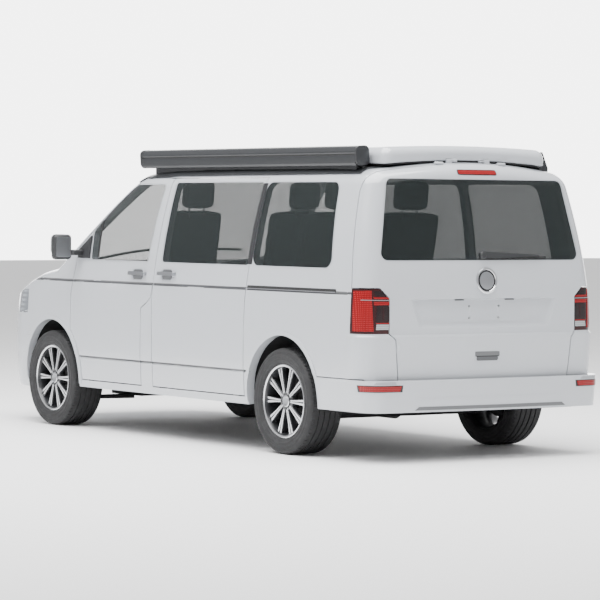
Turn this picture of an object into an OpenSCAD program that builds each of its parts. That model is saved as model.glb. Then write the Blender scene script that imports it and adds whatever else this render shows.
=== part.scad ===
// Mid-size camper van with a pop-up roof, a side awning and a sliding door on its left.
// +X forward, +Y left, +Z up. The origin is on the ground, at mid-length, on the centreline.

/* [Body] */
// Overall length, bumper to bumper
body_l = 4904; // [4400:10:5400]
// Width of the body at its widest, without mirrors
body_w = 1904; // [1700:4:2100]
// Height of the roof skin on the centreline
roof_z = 1890; // [1750:10:2100]
// Height of the belt, the lower edge of the side windows
belt_z = 1208; // [1150:2:1260]
// Height of the waist groove
waist_z = 1055; // [1030:5:1080]
// Height of the lowest painted edge, the sill
sill_z = 300; // [240:10:340]
// Thickness of a whole door or wall
wall = 55; // [35:5:70]
// Width of the shut lines between panels
shut_gap = 7; // [6:1:10]

/* [Wheels] */
// Distance between the axles
wheelbase = 3000; // [2800:10:3200]
// Distance between the middles of the two tyres of an axle
track = 1638; // [1560:2:1660]
// Radius of a tyre
tyre_r = 343; // [310:1:360]
// Width of a tyre
tyre_w = 255; // [195:5:265]
// Radius of the rim's seat
rim_r = 228; // [200:1:240]
// Number of spokes
spokes = 10; // [5:1:14]
// Gap between a tyre and the edge of its arch, at the top
arch_gap = 82; // [60:1:110]

/* [Openings] */
// Lower edge of the doors
door_bottom_z = 352; // [345:1:380]
// Upper edge of the doors
door_top_z = 1780; // [1760:5:1790]
// Thickness of the window glass
glass_t = 6; // [4:1:8]
// How far the glass lies under the skin
glass_inset = 3; // [2:1:5]

/* [Pop-up roof] */
// Highest point of the pop-up roof
pop_top_z = 1990; // [1960:5:2200]
// Half width of the pop-up roof
pop_half_w = 650; // [560:10:665]
// Thickness of the pop-up roof's shell
pop_wall = 30; // [20:5:40]

/* [Awning] */
// Length of the awning case
awning_l = 2620; // [2200:20:2700]
// Height of the awning case
awning_h = 128; // [100:2:135]
// Depth of the awning case
awning_d = 106; // [80:2:112]

/* [Steering] */
// Distance from a front wheel's middle to its steering axis
kingpin_inset = 39; // [30:1:45]
// Radius of a brake disc
disc_r = 155; // [130:1:165]

/* [Hidden] */
$fn = 64;
// Nodes of the body that everything else is fixed to or hinged on
FIXED_NODES = [
  "floor_pan", "left_side_panel", "right_side_panel", "roof_frame", "front_wings", "cowl_panel",
  "front_bumper", "grille", "headlights", "windscreen", "sliding_door", "side_windows",
  "tail_lamps", "rear_bumper", "awning", "roof_rails", "powertrain", "front_axle", "rear_axle",
  "dashboard", "steering_wheel", "front_seats", "rear_bench", "kitchen_unit", "roof_canvas"];
// Nodes that move
MOVING_NODES = [
  "front_door_left", "door_glass_left", "mirror_left",
  "front_door_right", "door_glass_right", "mirror_right",
  "tailgate", "rear_window", "rear_wiper", "bonnet", "pop_roof",
  "knuckle_left", "knuckle_right",
  "tyre_front_left", "rim_front_left", "tyre_front_right", "rim_front_right",
  "tyre_rear_left", "rim_rear_left", "tyre_rear_right", "rim_rear_right"];

paint = "whitesmoke";
charcoal = "dimgray";
black = "#202224";
smoked = "#3a4548";
steel = "gray";

fit = 0.4;                                // between pieces that are fixed to each other
half_l = body_l / 2;
half_w = body_w / 2;
body_mid_x = 44;                          // the axles sit this far ahead of the middle
front_x = body_mid_x + wheelbase / 2;
rear_x = body_mid_x - wheelbase / 2;
wheel_y = track / 2;

// ---- The curved skin ------------------------------------------------------------------
// A box is rounded at its edges and then bent, first to the van's side view, then to its
// cross-section and last to its plan. The same steps with a smaller box give the inside.

box_bottom = 230;
box_top = 1900;
squeeze_z = 700;                          // below this height the side view does not matter
tail_x = -half_l + 75;                    // the painted tail stands this far inside the bumper
round_tail = 130;
round_nose = 210;
round_side = 110;
round_sill = 36;
round_roof = 92;

function clamp(v, lo, hi) = min(max(v, lo), hi);
function ease(v) = let (c = clamp(v, 0, 1)) c * c * (3 - 2 * c);
function soft_ramp(v, r) = (v + sqrt(v * v + r * r)) / 2;

screen_top = [690, roof_z - 48];          // upper edge of the windscreen on the centreline
screen_base = [1640, 1165];               // its lower edge
SIDE_VIEW = [
  [-half_l, roof_z - 6], [-1500, roof_z - 2], [-600, roof_z], [100, roof_z - 6], [450, roof_z - 20],
  screen_top, screen_base, [1900, 1128], [half_l - 300, 1068], [half_l - 120, 1000], [half_l, 940]];

// Height of the top of the body on the centreline, with its corners eased a little
function top_z(x) = let (reach = x < 1000 ? 90 : 26)
  (lookup(x - reach, SIDE_VIEW) + lookup(x - reach / 2, SIDE_VIEW) + lookup(x, SIDE_VIEW)
    + lookup(x + reach / 2, SIDE_VIEW) + lookup(x + reach, SIDE_VIEW)) / 5;

// Half width of the body at a height: a sill, full doors, then a greenhouse that leans in
ledge_z = 510;
fullest_z = 640;
function half_width(z) =
  z < ledge_z ? half_w - 5 - 3.4e-4 * pow(ledge_z - z, 2) :
  z < waist_z ? half_w - 7e-5 * pow(z - fullest_z, 2) :
  let (up = z - waist_z) half_w - 12.5 - 0.105 * up - 1.62e-4 * pow(max(up - 135, 0), 2);

// How far the plan narrows towards both ends
function plan_scale(x) =
  x > 1200 ? 1 - 0.055 * pow((x - 1200) / 1200, 2) :
  x < -1600 ? 1 - 0.02 * pow((x + 1600) / 800, 2) : 1;

// How far a line across the body is drawn back at its ends
function sweep(x) = 150 * ease((x - 150) / 700) + 70 * ease((x - 1800) / 600);

// How far the tail leans forward, and how far the nose leans back
function tail_lean(z) = 0.158 * soft_ramp(z - 1110, 90);
function nose_lean(z) = 3e-4 * pow(max(z - 600, 0), 2) + 4e-4 * pow(max(430 - z, 0), 2);

function rounded(p, lo, hi, r_lo, r_hi) =
  let (r = [for (i = [0:2]) p[i] < (lo[i] + hi[i]) / 2 ? r_lo[i] : r_hi[i]])
  let (core = [for (i = [0:2]) clamp(p[i], lo[i] + r[i], hi[i] - r[i])])
  let (away = [for (i = [0:2]) (p[i] - core[i]) / r[i]])
  [for (i = [0:2]) core[i] + r[i] * away[i] / norm(away)];

function bent(p, swell) =
  let (across = p[1] / half_w)
  let (squeeze = (top_z(p[0]) - squeeze_z) / (box_top - squeeze_z))
  let (crown = 40 * ease((1000 - p[0]) / 500) + 26)
  let (z0 = p[2] < squeeze_z ? p[2] : squeeze_z + (p[2] - squeeze_z) * squeeze)
  let (z = z0 - crown * pow(across, 2) * ease((p[2] - squeeze_z) / (box_top - squeeze_z)))
  let (tail = ease((-1650 - p[0]) / 600), nose = ease((p[0] - 1650) / 700))
  [
    p[0] - sweep(p[0]) * pow(across, 2) + tail * (45 * pow(across, 2) + tail_lean(z)) - nose * nose_lean(z),
    across * (half_width(z) * plan_scale(p[0]) + swell),
    z
  ];

// Lines of the lattice: close together where the skin turns sharply
function fan(steps) = [for (i = [0:steps]) tan(45 * i / steps)];
function turned(edge, r, steps) = [for (t = fan(steps)) edge + r * (t - 1)];
function reversed(list) = [for (i = [len(list) - 1:-1:0]) list[i]];
function spread(lo, hi, n) = [for (i = [1:n]) lo + (hi - lo) * i / (n + 1)];

function x_lines(tail, nose) = concat(
  reversed([for (v = turned(0, round_tail, 3)) tail - v]),
  spread(tail + round_tail, 200, 6), [200, 440, 580, 650, 700, 760, 860],
  spread(860, screen_base[0] - 26, 3), [for (d = [-26, 0, 26, 80]) screen_base[0] + d],
  spread(screen_base[0] + 80, nose - round_nose, 2),
  turned(nose, round_nose, 3));

function y_lines() = let (half = concat([320, 640], turned(half_w, round_side, 3)))
  concat([for (v = reversed(half)) -v], [0], half);

function z_lines() = concat(
  reversed([for (v = turned(0, round_sill, 2)) box_bottom - v]),
  [360, ledge_z - 1, ledge_z + 1, 640, 850, waist_z, 1200, 1400, 1600],
  turned(box_top, round_roof, 3));

// Order of the lattice's outline in one cross-section
function outline_at(ny, nz) = concat(
  [for (j = [0:ny - 1]) [j, 0]], [for (k = [1:nz - 1]) [ny - 1, k]],
  [for (j = [ny - 2:-1:0]) [j, nz - 1]], [for (k = [nz - 2:-1:1]) [0, k]]);
function outline_index(j, k, ny, nz) =
  k == 0 ? j : j == ny - 1 ? ny - 1 + k : k == nz - 1 ? 2 * (ny - 1) + nz - 1 - j :
  2 * (ny - 1) + 2 * (nz - 1) - k;
function split_quad(q) = [[q[0], q[1], q[2]], [q[0], q[2], q[3]]];

// One closed skin over a lattice of lines, each point put in its place by a function
module lattice_skin(xs, ys, zs, place) {
  nx = len(xs);
  ny = len(ys);
  nz = len(zs);
  ring = outline_at(ny, nz);
  nr = len(ring);
  walls = [for (x = xs) for (jk = ring) place([x, ys[jk[0]], zs[jk[1]]])];
  ends = [for (x = [xs[0], xs[nx - 1]]) for (j = [1:ny - 2]) for (k = [1:nz - 2]) place([x, ys[j], zs[k]])];
  function at_end(front, j, k) = (j == 0 || j == ny - 1 || k == 0 || k == nz - 1)
    ? (front ? nx - 1 : 0) * nr + outline_index(j, k, ny, nz)
    : nx * nr + (front ? (ny - 2) * (nz - 2) : 0) + (j - 1) * (nz - 2) + k - 1;
  wall_faces = [for (i = [0:nx - 2]) for (m = [0:nr - 1]) let (n = (m + 1) % nr)
    each split_quad([i * nr + m, (i + 1) * nr + m, (i + 1) * nr + n, i * nr + n])];
  rear_faces = [for (j = [0:ny - 2]) for (k = [0:nz - 2]) each split_quad(
    [at_end(false, j, k), at_end(false, j + 1, k), at_end(false, j + 1, k + 1), at_end(false, j, k + 1)])];
  front_faces = [for (j = [0:ny - 2]) for (k = [0:nz - 2]) each split_quad(
    [at_end(true, j, k), at_end(true, j, k + 1), at_end(true, j + 1, k + 1), at_end(true, j + 1, k)])];
  polyhedron(points = concat(walls, ends), faces = concat(wall_faces, rear_faces, front_faces));
}

// The body's skin, drawn in by a depth. A bumper is the same skin drawn out at its end.
module body_skin(depth = 0, tail = tail_x, nose = half_l, swell = 0) {
  lo = [tail + depth, -half_w + depth, box_bottom + depth];
  hi = [nose - depth, half_w - depth, box_top - depth];
  xs = x_lines(tail, nose);
  ys = y_lines();
  zs = z_lines();
  full_lo = [tail, -half_w, box_bottom];
  full_hi = [nose, half_w, box_top];
  r_lo = [round_tail, round_side, round_sill];
  r_hi = [round_nose, round_side, round_roof];
  shrink = [for (i = [0:2]) (hi[i] - lo[i]) / (full_hi[i] - full_lo[i])];
  place = function (p) let (r = rounded(p, full_lo, full_hi, r_lo, r_hi))
    bent([for (i = [0:2]) lo[i] + (r[i] - full_lo[i]) * shrink[i]], swell);
  lattice_skin(xs, ys, zs, place);
}

module body_wall(outer = 0, inner = wall) {
  difference() {
    body_skin(outer);
    body_skin(inner);
  }
}

// A panel cut from the curved skin is kept as one closed mesh; zero sizes change nothing
module panel() {
  resize([0, 0, 0]) intersection() {
    children(0);
    children(1);
  }
}

// Outlines seen from the side, the rear and above, made into cutting blocks
module from_side(y0, y1) {
  translate([0, y1, 0]) rotate([90, 0, 0]) linear_extrude(y1 - y0) children();
}
module from_rear(x0, x1) {
  translate([x0, 0, 0]) rotate([90, 0, 90]) linear_extrude(x1 - x0) children();
}
module from_above(z0, z1) {
  translate([0, 0, z0]) linear_extrude(z1 - z0) children();
}
module eased(r = 30) {
  offset(r = r, $fn = 24) offset(delta = -r) children();
}
module both_sides() {
  for (side = [1, -1]) scale([1, side, 1]) children();
}

// ---- Outlines of doors, windows and arches --------------------------------------------
arch_r = 405;
arch_z = tyre_r + arch_gap + tyre_r - arch_r;
door_front_x = 1250;
pillar_b_x = 142;
pillar_c_x = -1030;
far = 3000;

module arch_circle(x, r) {
  translate([x, arch_z]) circle(r = r, $fn = 72);
}

module front_door_outline() {
  difference() {
    polygon([
      [90, door_top_z], [pillar_b_x, 1074], [165, 964], [215, 925], [288, 890], [288, door_bottom_z],
      [door_front_x, door_bottom_z], [door_front_x + 12, 955], [1215, 1160], [1195, 1285], [640, 1700],
      [560, 1755], [500, door_top_z]]);
    arch_circle(front_x, arch_r + 40);
  }
}
module front_window_outline() {
  eased(24) polygon([[1010, belt_z], [238, belt_z], [165, 1738], [560, 1738], [640, 1688], [1012, 1408]]);
}
module sliding_door_outline() {
  polygon([
    [90, door_top_z], [pillar_b_x, 1074], [150, 950], [134, 640], [134, door_bottom_z],
    [pillar_c_x + 17, door_bottom_z], [pillar_c_x + 17, 958], [pillar_c_x - 7, 1223],
    [pillar_c_x - 42, door_top_z]]);
}
module sliding_window_outline() {
  eased(20) polygon([[50, belt_z], [28, 1750], [pillar_c_x - 18, 1750], [pillar_c_x + 15, belt_z]]);
}
module quarter_window_outline() {
  eased(60) polygon([[pillar_c_x - 34, belt_z], [pillar_c_x - 66, 1750], [-1905, 1750], [-1968, belt_z]]);
}
module rear_window_outline() {
  eased(45) polygon([[-792, 1262], [792, 1262], [694, 1772], [-694, 1772]]);
}
bumper_top_z = 518;
bumper_bottom_z = 318;
lamp_bottom_z = 806;
lamp_top_z = 1088;
lamp_inner_y = 742;
gate_bottom_z = 512;
gate_hinge = [-2186, roof_z - 16];        // where the tailgate's hinge line crosses the side view
module lamp_outline() {
  polygon([
    [lamp_inner_y, lamp_bottom_z], [lamp_inner_y, 1025], [lamp_inner_y + 66, lamp_top_z],
    [far, lamp_top_z], [far, lamp_bottom_z]]);
}
// The tailgate from the side: it takes the corner pillars above the lamps
module gate_side_outline(grow = 0) {
  offset(delta = grow) polygon([
    [gate_hinge[0], roof_z + 60], [gate_hinge[0], roof_z - 40], [-2140, roof_z - 120], [-2129, 1688],
    [-2195, 1119], [-2197, lamp_top_z], [-far, lamp_top_z], [-far, roof_z + 60]]);
}
module gate_rear_outline(grow = 0) {
  offset(delta = grow) polygon([
    [-lamp_inner_y - 66, lamp_top_z + 30], [-lamp_inner_y - 66, lamp_top_z], [-lamp_inner_y, 1025],
    [-lamp_inner_y, lamp_bottom_z], [-700, lamp_bottom_z - 40], [-676, gate_bottom_z],
    [676, gate_bottom_z], [700, lamp_bottom_z - 40], [lamp_inner_y, lamp_bottom_z],
    [lamp_inner_y, 1025], [lamp_inner_y + 66, lamp_top_z], [lamp_inner_y + 66, lamp_top_z + 30]]);
}
// The block that holds the tailgate, and with a growth the hole that it closes
module gate_block(grow = 0) {
  from_side(-far, far) gate_side_outline(grow);
  from_rear(-far, -2200) gate_rear_outline(grow);
}

// The roof is split from the sides along the drip line
drip_z = 1800;
roof_hole = [-2020, 380, 1080];           // rear edge, front edge and width of the roof's opening
module roof_hole_outline(inset = 0) {
  translate([roof_hole[0] + inset, -roof_hole[2] / 2 + inset]) offset(r = 60 - inset, $fn = 24)
    offset(delta = -60 + inset) square([roof_hole[1] - roof_hole[0] - 2 * inset, roof_hole[2] - 2 * inset]);
}

// The bonnet from above, and the nose from the front
bonnet_rear_x = screen_base[0] + 34;
bonnet_hinge = [bonnet_rear_x, 1161];
module bonnet_outline(grow = 0) {
  offset(delta = grow) polygon([
    [bonnet_rear_x, -742], [bonnet_rear_x, 742], [half_l - 330, 690], [half_l - 190, 560],
    [half_l - 125, 330], [half_l - 108, 0], [half_l - 125, -330], [half_l - 190, -560],
    [half_l - 330, -690]]);
}
bonnet_z = 880;
bumper_front_z = 640;
grille_top_z = 905;
grille_bottom_z = 762;
module headlight_outline() {
  polygon([
    [530, 770], [905, 800], [960, 900], [960, 985], [840, 960], [560, 912], [530, 890]]);
}
module grille_outline() {
  polygon([
    [-524, grille_bottom_z], [524, grille_bottom_z], [524, grille_top_z - 10], [480, grille_top_z],
    [-480, grille_top_z], [-524, grille_top_z - 10]]);
}

// ---- Hinges -------------------------------------------------------------------------------
hinge_r = 10;
pin_clear = 0.6;                          // around a pin in its socket
door_pin = [1200, half_w - 6];            // close under the skin, so that the door clears the wing
door_pin_z = 620;
door_pin_r = 4;
// A pair of pins along a hinge line that runs across the van
module cross_pins(at, y, grow = 0) {
  both_sides() translate([at[0], y + 30 + grow, at[1]]) rotate([90, 0, 0])
    cylinder(r = hinge_r + grow, h = 60 + 2 * grow, $fn = 24);
}
module door_pin_solid(grow = 0) {
  translate([door_pin[0], door_pin[1], door_pin_z - grow])
    cylinder(r = door_pin_r + grow, h = 80, $fn = 24);
}
gate_pin_y = 250;
pop_tail_x = -2160;
pop_hinge = [pop_tail_x, roof_z + 3];
pop_pin_y = 120;
bonnet_pin_y = 200;

// ---- Painted panels ---------------------------------------------------------------------
module side_block(side) {
  scale([1, side, 1]) difference() {
    from_side(0, far) difference() {
      translate([-far, sill_z]) square([2 * far, drip_z - sill_z]);
      arch_circle(front_x, arch_r);
      arch_circle(rear_x, arch_r);
      translate([-far, 0]) square([far + rear_x, bumper_top_z + fit]);
    }
    from_side(0, far) offset(delta = shut_gap / 2) front_door_outline();
    nose_block(0);
    gate_block(shut_gap / 2);
    from_rear(-far, -2198) offset(delta = fit) lamp_outline();
    windscreen_block(4);
  }
}
// Everything ahead of the front doors and under the windscreen belongs to the nose
module nose_block(grow) {
  from_side(-far, far) polygon([
    [door_front_x + 12 - grow, 955], [1215 - grow, 1160], [1210 - grow, 1185], [far, 1185], [far, 0],
    [1060 - grow, 0], [1060 - grow, 720], [door_front_x - grow, 720]]);
}

module left_side_panel() {
  color(paint) panel() {
    body_wall();
    difference() {
      side_block(1);
      from_side(0, far) offset(delta = shut_gap / 2) sliding_door_outline();
      from_side(0, far) quarter_window_outline();
    }
  }
}
module right_side_panel() {
  color(paint) panel() {
    body_wall();
    difference() {
      side_block(-1);
      from_side(-far, 0) sliding_window_outline();
      from_side(-far, 0) quarter_window_outline();
    }
  }
}
module sliding_door() {
  color(paint) resize([0, 0, 0]) union() {
    intersection() {
      body_wall();
      from_side(0, far) difference() {
        offset(delta = -shut_gap / 2) sliding_door_outline();
        sliding_window_outline();
      }
    }
    // The runners stand on the edge of the floor
    for (x = [-850, -20]) {
      translate([x, 845, floor_z[1] + fit]) cube([60, 35, 40]);
      translate([x, 845, door_bottom_z + 5]) cube([60, 48, 24]);
    }
  }
}
module door(side) {
  color(paint) union() {
    panel() {
      body_wall();
      scale([1, side, 1]) from_side(0, far) difference() {
        offset(delta = -shut_gap / 2) front_door_outline();
        front_window_outline();
      }
    }
    scale([1, side, 1]) door_pin_solid();
  }
}
module front_door_left() { door(1); }
module front_door_right() { door(-1); }

module glass_wall() {
  body_wall(glass_inset, glass_inset + glass_t);
}
module door_glass(side) {
  color(smoked) panel() {
    glass_wall();
    scale([1, side, 1]) from_side(0, far) offset(delta = -fit) front_window_outline();
  }
}
module door_glass_left() { door_glass(1); }
module door_glass_right() { door_glass(-1); }
module side_windows() {
  color(smoked) panel() {
    glass_wall();
    for (side = [1, -1]) scale([1, side, 1]) from_side(0, far) offset(delta = -fit) {
      sliding_window_outline();
      quarter_window_outline();
    }
  }
}

module roof_frame() {
  color(paint) difference() {
    resize([0, 0, 0]) union() {
      intersection() {
        body_wall();
        difference() {
          from_side(-far, far) translate([-far, drip_z + fit]) square([far + screen_top[0] + 400, far]);
          gate_block(shut_gap / 2);
          windscreen_block(4);
          from_side(-far, far) offset(delta = shut_gap / 2) front_door_outline();
          from_above(0, far) roof_hole_outline();
        }
      }
      both_sides() translate([pop_hinge[0] - 6, pop_pin_y + 12, pop_hinge[1] - 30]) cube([22, 36, 30]);
    }
    cross_pins(gate_hinge, gate_pin_y, pin_clear);
    cross_pins(pop_hinge, pop_pin_y, pin_clear);
  }
}

// The windscreen, outlined from above
module windscreen_block(grow) {
  intersection() {
    from_above(600, far) offset(r = 60 + grow, $fn = 24) polygon([
      [600, -590], [1375, -760], [1545, -460], [1585, 0], [1545, 460], [1375, 760], [600, 590],
      [655, 300], [670, 0], [655, -300]]);
    from_side(-far, far) translate([0, 1110 - grow]) square(far);
  }
}
module windscreen() {
  color(smoked) panel() {
    glass_wall();
    windscreen_block(3);
  }
}

module front_wings() {
  color(paint) difference() {
    panel() {
      body_wall();
      wing_block();
    }
    both_sides() door_pin_solid(pin_clear);
  }
}
module wing_block() {
  difference() {
    nose_block(-fit);
    from_side(-far, far) arch_circle(front_x, arch_r);
    from_side(-far, far) translate([front_x, 0]) square([far, bumper_front_z + fit]);
    from_side(-far, far) translate([0, 0]) square([far, sill_z]);
    from_above(bonnet_z, far) bonnet_outline(shut_gap / 2);
    both_sides() from_rear(half_l - 520, far) offset(delta = fit) headlight_outline();
    from_rear(half_l - 520, far) translate([-560, 0]) square([1120, far]);
    from_above(0, far) translate([0, -700]) square([bonnet_rear_x - shut_gap / 2, 1400]);
    windscreen_block(5);
    from_side(-far, far) offset(delta = shut_gap / 2) front_door_outline();
  }
}
// The panel between the bonnet and the windscreen
module cowl_panel() {
  color(black) difference() {
    panel() {
      body_wall();
      difference() {
        from_above(900, 1185) translate([1420, -699.6])
          square([bonnet_rear_x - shut_gap / 2 - 1420, 1399.2]);
        windscreen_block(5);
        from_above(bonnet_z, far) bonnet_outline(shut_gap / 2);
      }
    }
    cross_pins(bonnet_hinge, bonnet_pin_y, pin_clear);
  }
}
module bonnet() {
  color(paint) union() {
    panel() {
      body_wall();
      from_above(bonnet_z, far) bonnet_outline(-shut_gap / 2);
    }
    cross_pins(bonnet_hinge, bonnet_pin_y);
  }
}
module headlights() {
  color("lightsteelblue") panel() {
    body_wall();
    difference() {
      both_sides() from_rear(half_l - 518, far) headlight_outline();
      from_above(bonnet_z, far) bonnet_outline(shut_gap / 2);
    }
  }
}
module grille() {
  color(black) panel() {
    body_wall(4);
    difference() {
      from_rear(half_l - 400, far) grille_outline();
      from_above(bonnet_z, far) bonnet_outline(shut_gap / 2);
      for (i = [0:2]) from_rear(half_l - 300, far) translate([-480, grille_bottom_z + 22 + i * 40])
        square([960, 22]);
    }
  }
}
module front_bumper() {
  color(paint) panel() {
    body_wall();
    difference() {
      from_side(-far, far) difference() {
        translate([front_x + 20, sill_z - 40]) square([far, far]);
        translate([0, bumper_front_z]) square([half_l - 410, far]);
        translate([0, grille_top_z + 8]) square([far, far]);
        arch_circle(front_x, arch_r);
      }
      from_rear(half_l - 700, far) offset(delta = fit) grille_outline();
      both_sides() from_rear(half_l - 700, far) offset(delta = fit) headlight_outline();
      from_rear(half_l - 400, far) eased(20) polygon([[-560, 330], [560, 330], [500, 470], [-500, 470]]);
      both_sides() from_rear(half_l - 600, far) translate([560, 640]) square([far, far]);
      from_above(bonnet_z, far) bonnet_outline(shut_gap / 2);
    }
  }
}

// The flat in the tailgate that carries the number plate, and its four holes
plate_x = -2362;
plate_z = 934;
plate_hole_r = 3;
plate_holes = [235, 75];
module tailgate() {
  color(paint) difference() {
    union() {
      resize([0, 0, 0]) difference() {
        intersection() {
          body_wall();
          difference() {
            gate_block(-shut_gap / 2);
            from_rear(-far, -1900) rear_window_outline();
          }
        }
        from_rear(-far, plate_x) eased(14) polygon([[-596, 1022], [596, 1022], [545, 832], [-545, 832]]);
      }
      cross_pins(gate_hinge, gate_pin_y);
    }
    for (y = [-1, 1]) for (z = [-1, 1])
      translate([plate_x - 5, y * plate_holes[0] / 2, plate_z + z * plate_holes[1] / 2])
        rotate([0, 90, 0]) cylinder(r = plate_hole_r, h = 25);
  }
}
module rear_window() {
  color(smoked) panel() {
    glass_wall();
    from_rear(-far, -2100) offset(delta = -fit) rear_window_outline();
  }
}
module tail_lamps() {
  color("firebrick") panel() {
    body_wall();
    difference() {
      both_sides() from_rear(-far, -2200) lamp_outline();
      gate_block(shut_gap / 2);
    }
  }
}
module rear_bumper() {
  color(paint) resize([0, 0, 0]) intersection() {
    difference() {
      body_skin(tail = -half_l, swell = 4);
      body_skin(depth = wall, tail = -half_l, swell = 4);
    }
    from_side(-far, far) difference() {
      translate([-far, bumper_bottom_z]) square([far + rear_x - 60, bumper_top_z - bumper_bottom_z]);
      arch_circle(rear_x, arch_r);
    }
  }
}

// ---- Roof, awning and rails ---------------------------------------------------------------
pop_nose_x = 650;
pop_clear = 6;
function roof_skin_z(x, y) = bent([x, y, box_top], 0)[2];
// The pop-up roof is a box that sits on the curve of the roof skin
module pop_skin(depth = 0, drop = 0) {
  lo = [pop_tail_x, -pop_half_w, 0];
  hi = [pop_nose_x, pop_half_w, 100];
  r_lo = [70, 60, 8];
  r_hi = [220, 60, 55];
  xs = concat(reversed([for (v = turned(0, r_lo[0], 3)) lo[0] - v]), spread(lo[0] + 70, hi[0] - 220, 5),
    turned(hi[0], r_hi[0], 3));
  half = concat([320], turned(hi[1], r_hi[1], 3));
  ys = concat([for (v = reversed(half)) -v], [0], half);
  zs = concat([0, 8, 30], turned(hi[2], r_hi[2], 3));
  place = function (p) let (r = rounded(p, lo, hi, r_lo, r_hi))
    let (x = lerp(lo[0] + depth, hi[0] - depth, (r[0] - lo[0]) / (hi[0] - lo[0])))
    let (y = r[1] * (1 - depth / pop_half_w), taper = 1 - 0.08 * ease((x + 200) / 850))
    let (base = roof_skin_z(x, y * taper) + pop_clear)
    let (top = pop_top_z - 38 * ease((x + 500) / 1100) - 18 * pow(r[1] / pop_half_w, 2))
    [x, y * taper, lerp(base - drop, top - depth, r[2] / 100)];
  lattice_skin(xs, ys, zs, place);
}
function lerp(a, b, t) = a + (b - a) * t;

module pop_roof() {
  color(paint) union() {
    resize([0, 0, 0]) difference() {
      pop_skin();
      pop_skin(pop_wall, 60);
      // Room for the two stands of the hinge
      both_sides() translate([pop_hinge[0] - 20, pop_pin_y + 7, 0]) cube([54, 46, pop_hinge[1] + 14]);
    }
    cross_pins(pop_hinge, pop_pin_y);
  }
}
// The folded stack of the side cloth, standing on the edge of the roof's opening
canvas_t = 28;
canvas_z = [roof_z - 44, roof_z + 12];
module roof_canvas() {
  color("slategray") translate([0, 0, canvas_z[0]]) linear_extrude(canvas_z[1] - canvas_z[0])
    difference() {
      roof_hole_outline(fit);
      roof_hole_outline(canvas_t);
    }
}

awning_x = [-2035, -2035 + awning_l];
awning_low = [672, 1858];                 // inner lower corner of the case, seen from behind
awning_lean = 5;
module awning_section(inset = 0) {
  translate(awning_low) rotate(-awning_lean) offset(r = 26 - inset, $fn = 24) offset(delta = -26)
    square([awning_d, awning_h]);
}
module awning() {
  color(charcoal) union() {
    from_rear(awning_x[0] + 18, awning_x[1] - 40) awning_section(2);
    for (end = [0, 1]) from_rear(end ? awning_x[1] - 39.6 : awning_x[0], end ? awning_x[1] : awning_x[0] + 17.6)
      awning_section();
  }
}
rail_bottom_z = drip_z + 6;
module rail_outline(top_z) {
  polygon([
    [-2060, rail_bottom_z], [90, rail_bottom_z - 8], [680, 1752], [600, 1806], [500, top_z],
    [-2060, top_z]]);
}
// The dark bands under the roof line, and the upright rail on the right
module roof_rails() {
  color(charcoal) resize([0, 0, 0]) difference() {
    union() {
      intersection() {
        from_side(600, far) rail_outline(awning_low[1] - 8);
        body_skin(-9);
      }
      intersection() {
        from_side(-far, -600) rail_outline(awning_low[1] - 8);
        body_skin(-9);
      }
      translate([0, 676, 0]) from_side(0, 60) translate([awning_x[0] + 60, 1790])
        square([awning_l - 200, awning_low[1] - 1790 - 4]);
      from_rear(-2050, 480) polygon([
        [-744, 1808], [-700, 1808], [-668, 1862], [-668, 1958], [-700, 1962], [-748, 1856]]);
    }
    body_skin(-fit);
    // Clear of the doors as they swing
    from_side(-far, far) offset(delta = shut_gap + 2) front_door_outline();
  }
}

// ---- Floor, axles and engine ----------------------------------------------------------------
floor_z = [304, 340];
house_r = arch_r + 26;
house_t = 10;
front_house_y = 478;
rear_house_y = 664;
firewall_x = 1392;
module wheel_house(x, y) {
  both_sides() translate([x, 0, arch_z]) intersection() {
    union() {
      translate([0, 940, 0]) rotate([90, 0, 0]) difference() {
        cylinder(r = house_r + house_t, h = 940 - y);
        translate([0, 0, -1]) cylinder(r = house_r, h = 940 - y - house_t + 1);
      }
    }
    translate([-far, 0, 3]) cube([2 * far, far, far]);
  }
}
// Room for the rear hubs and the arms below them
module hub_tunnel() {
  both_sides() translate([rear_x - 80, 585, 200]) cube([160, 120, 225]);
}
module wheel_space(x, y) {
  both_sides() translate([x, far, arch_z]) rotate([90, 0, 0]) cylinder(r = house_r + 1, h = far - y);
}
// Pads under the floor that a jack lifts at
jack_pad = [-600, 700];
jack_pad_size = 60;
jack_pad_drop = 10;
module jack_pads() {
  both_sides() translate([jack_pad[0] - jack_pad_size / 2, jack_pad[1] - jack_pad_size / 2,
      floor_z[0] - jack_pad_drop]) cube([jack_pad_size, jack_pad_size, jack_pad_drop + 12]);
}
module floor_pan() {
  color(black) union() {
    floor_shell();
    jack_pads();
  }
}
module floor_shell() {
  resize([0, 0, 0]) intersection() {
    body_skin(wall + fit);
    union() {
      difference() {
        union() {
          translate([-2290, -far, floor_z[0]]) cube([firewall_x + 2290 + 20, 2 * far, floor_z[1] - floor_z[0]]);
          translate([firewall_x, -far, floor_z[0]]) cube([20, 2 * far, 820]);
        }
        wheel_space(front_x, front_house_y + house_t);
        wheel_space(rear_x, rear_house_y + house_t);
        hub_tunnel();
      }
      wheel_house(front_x, front_house_y);
      difference() {
        wheel_house(rear_x, rear_house_y);
        hub_tunnel();
      }
    }
  }
}

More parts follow.
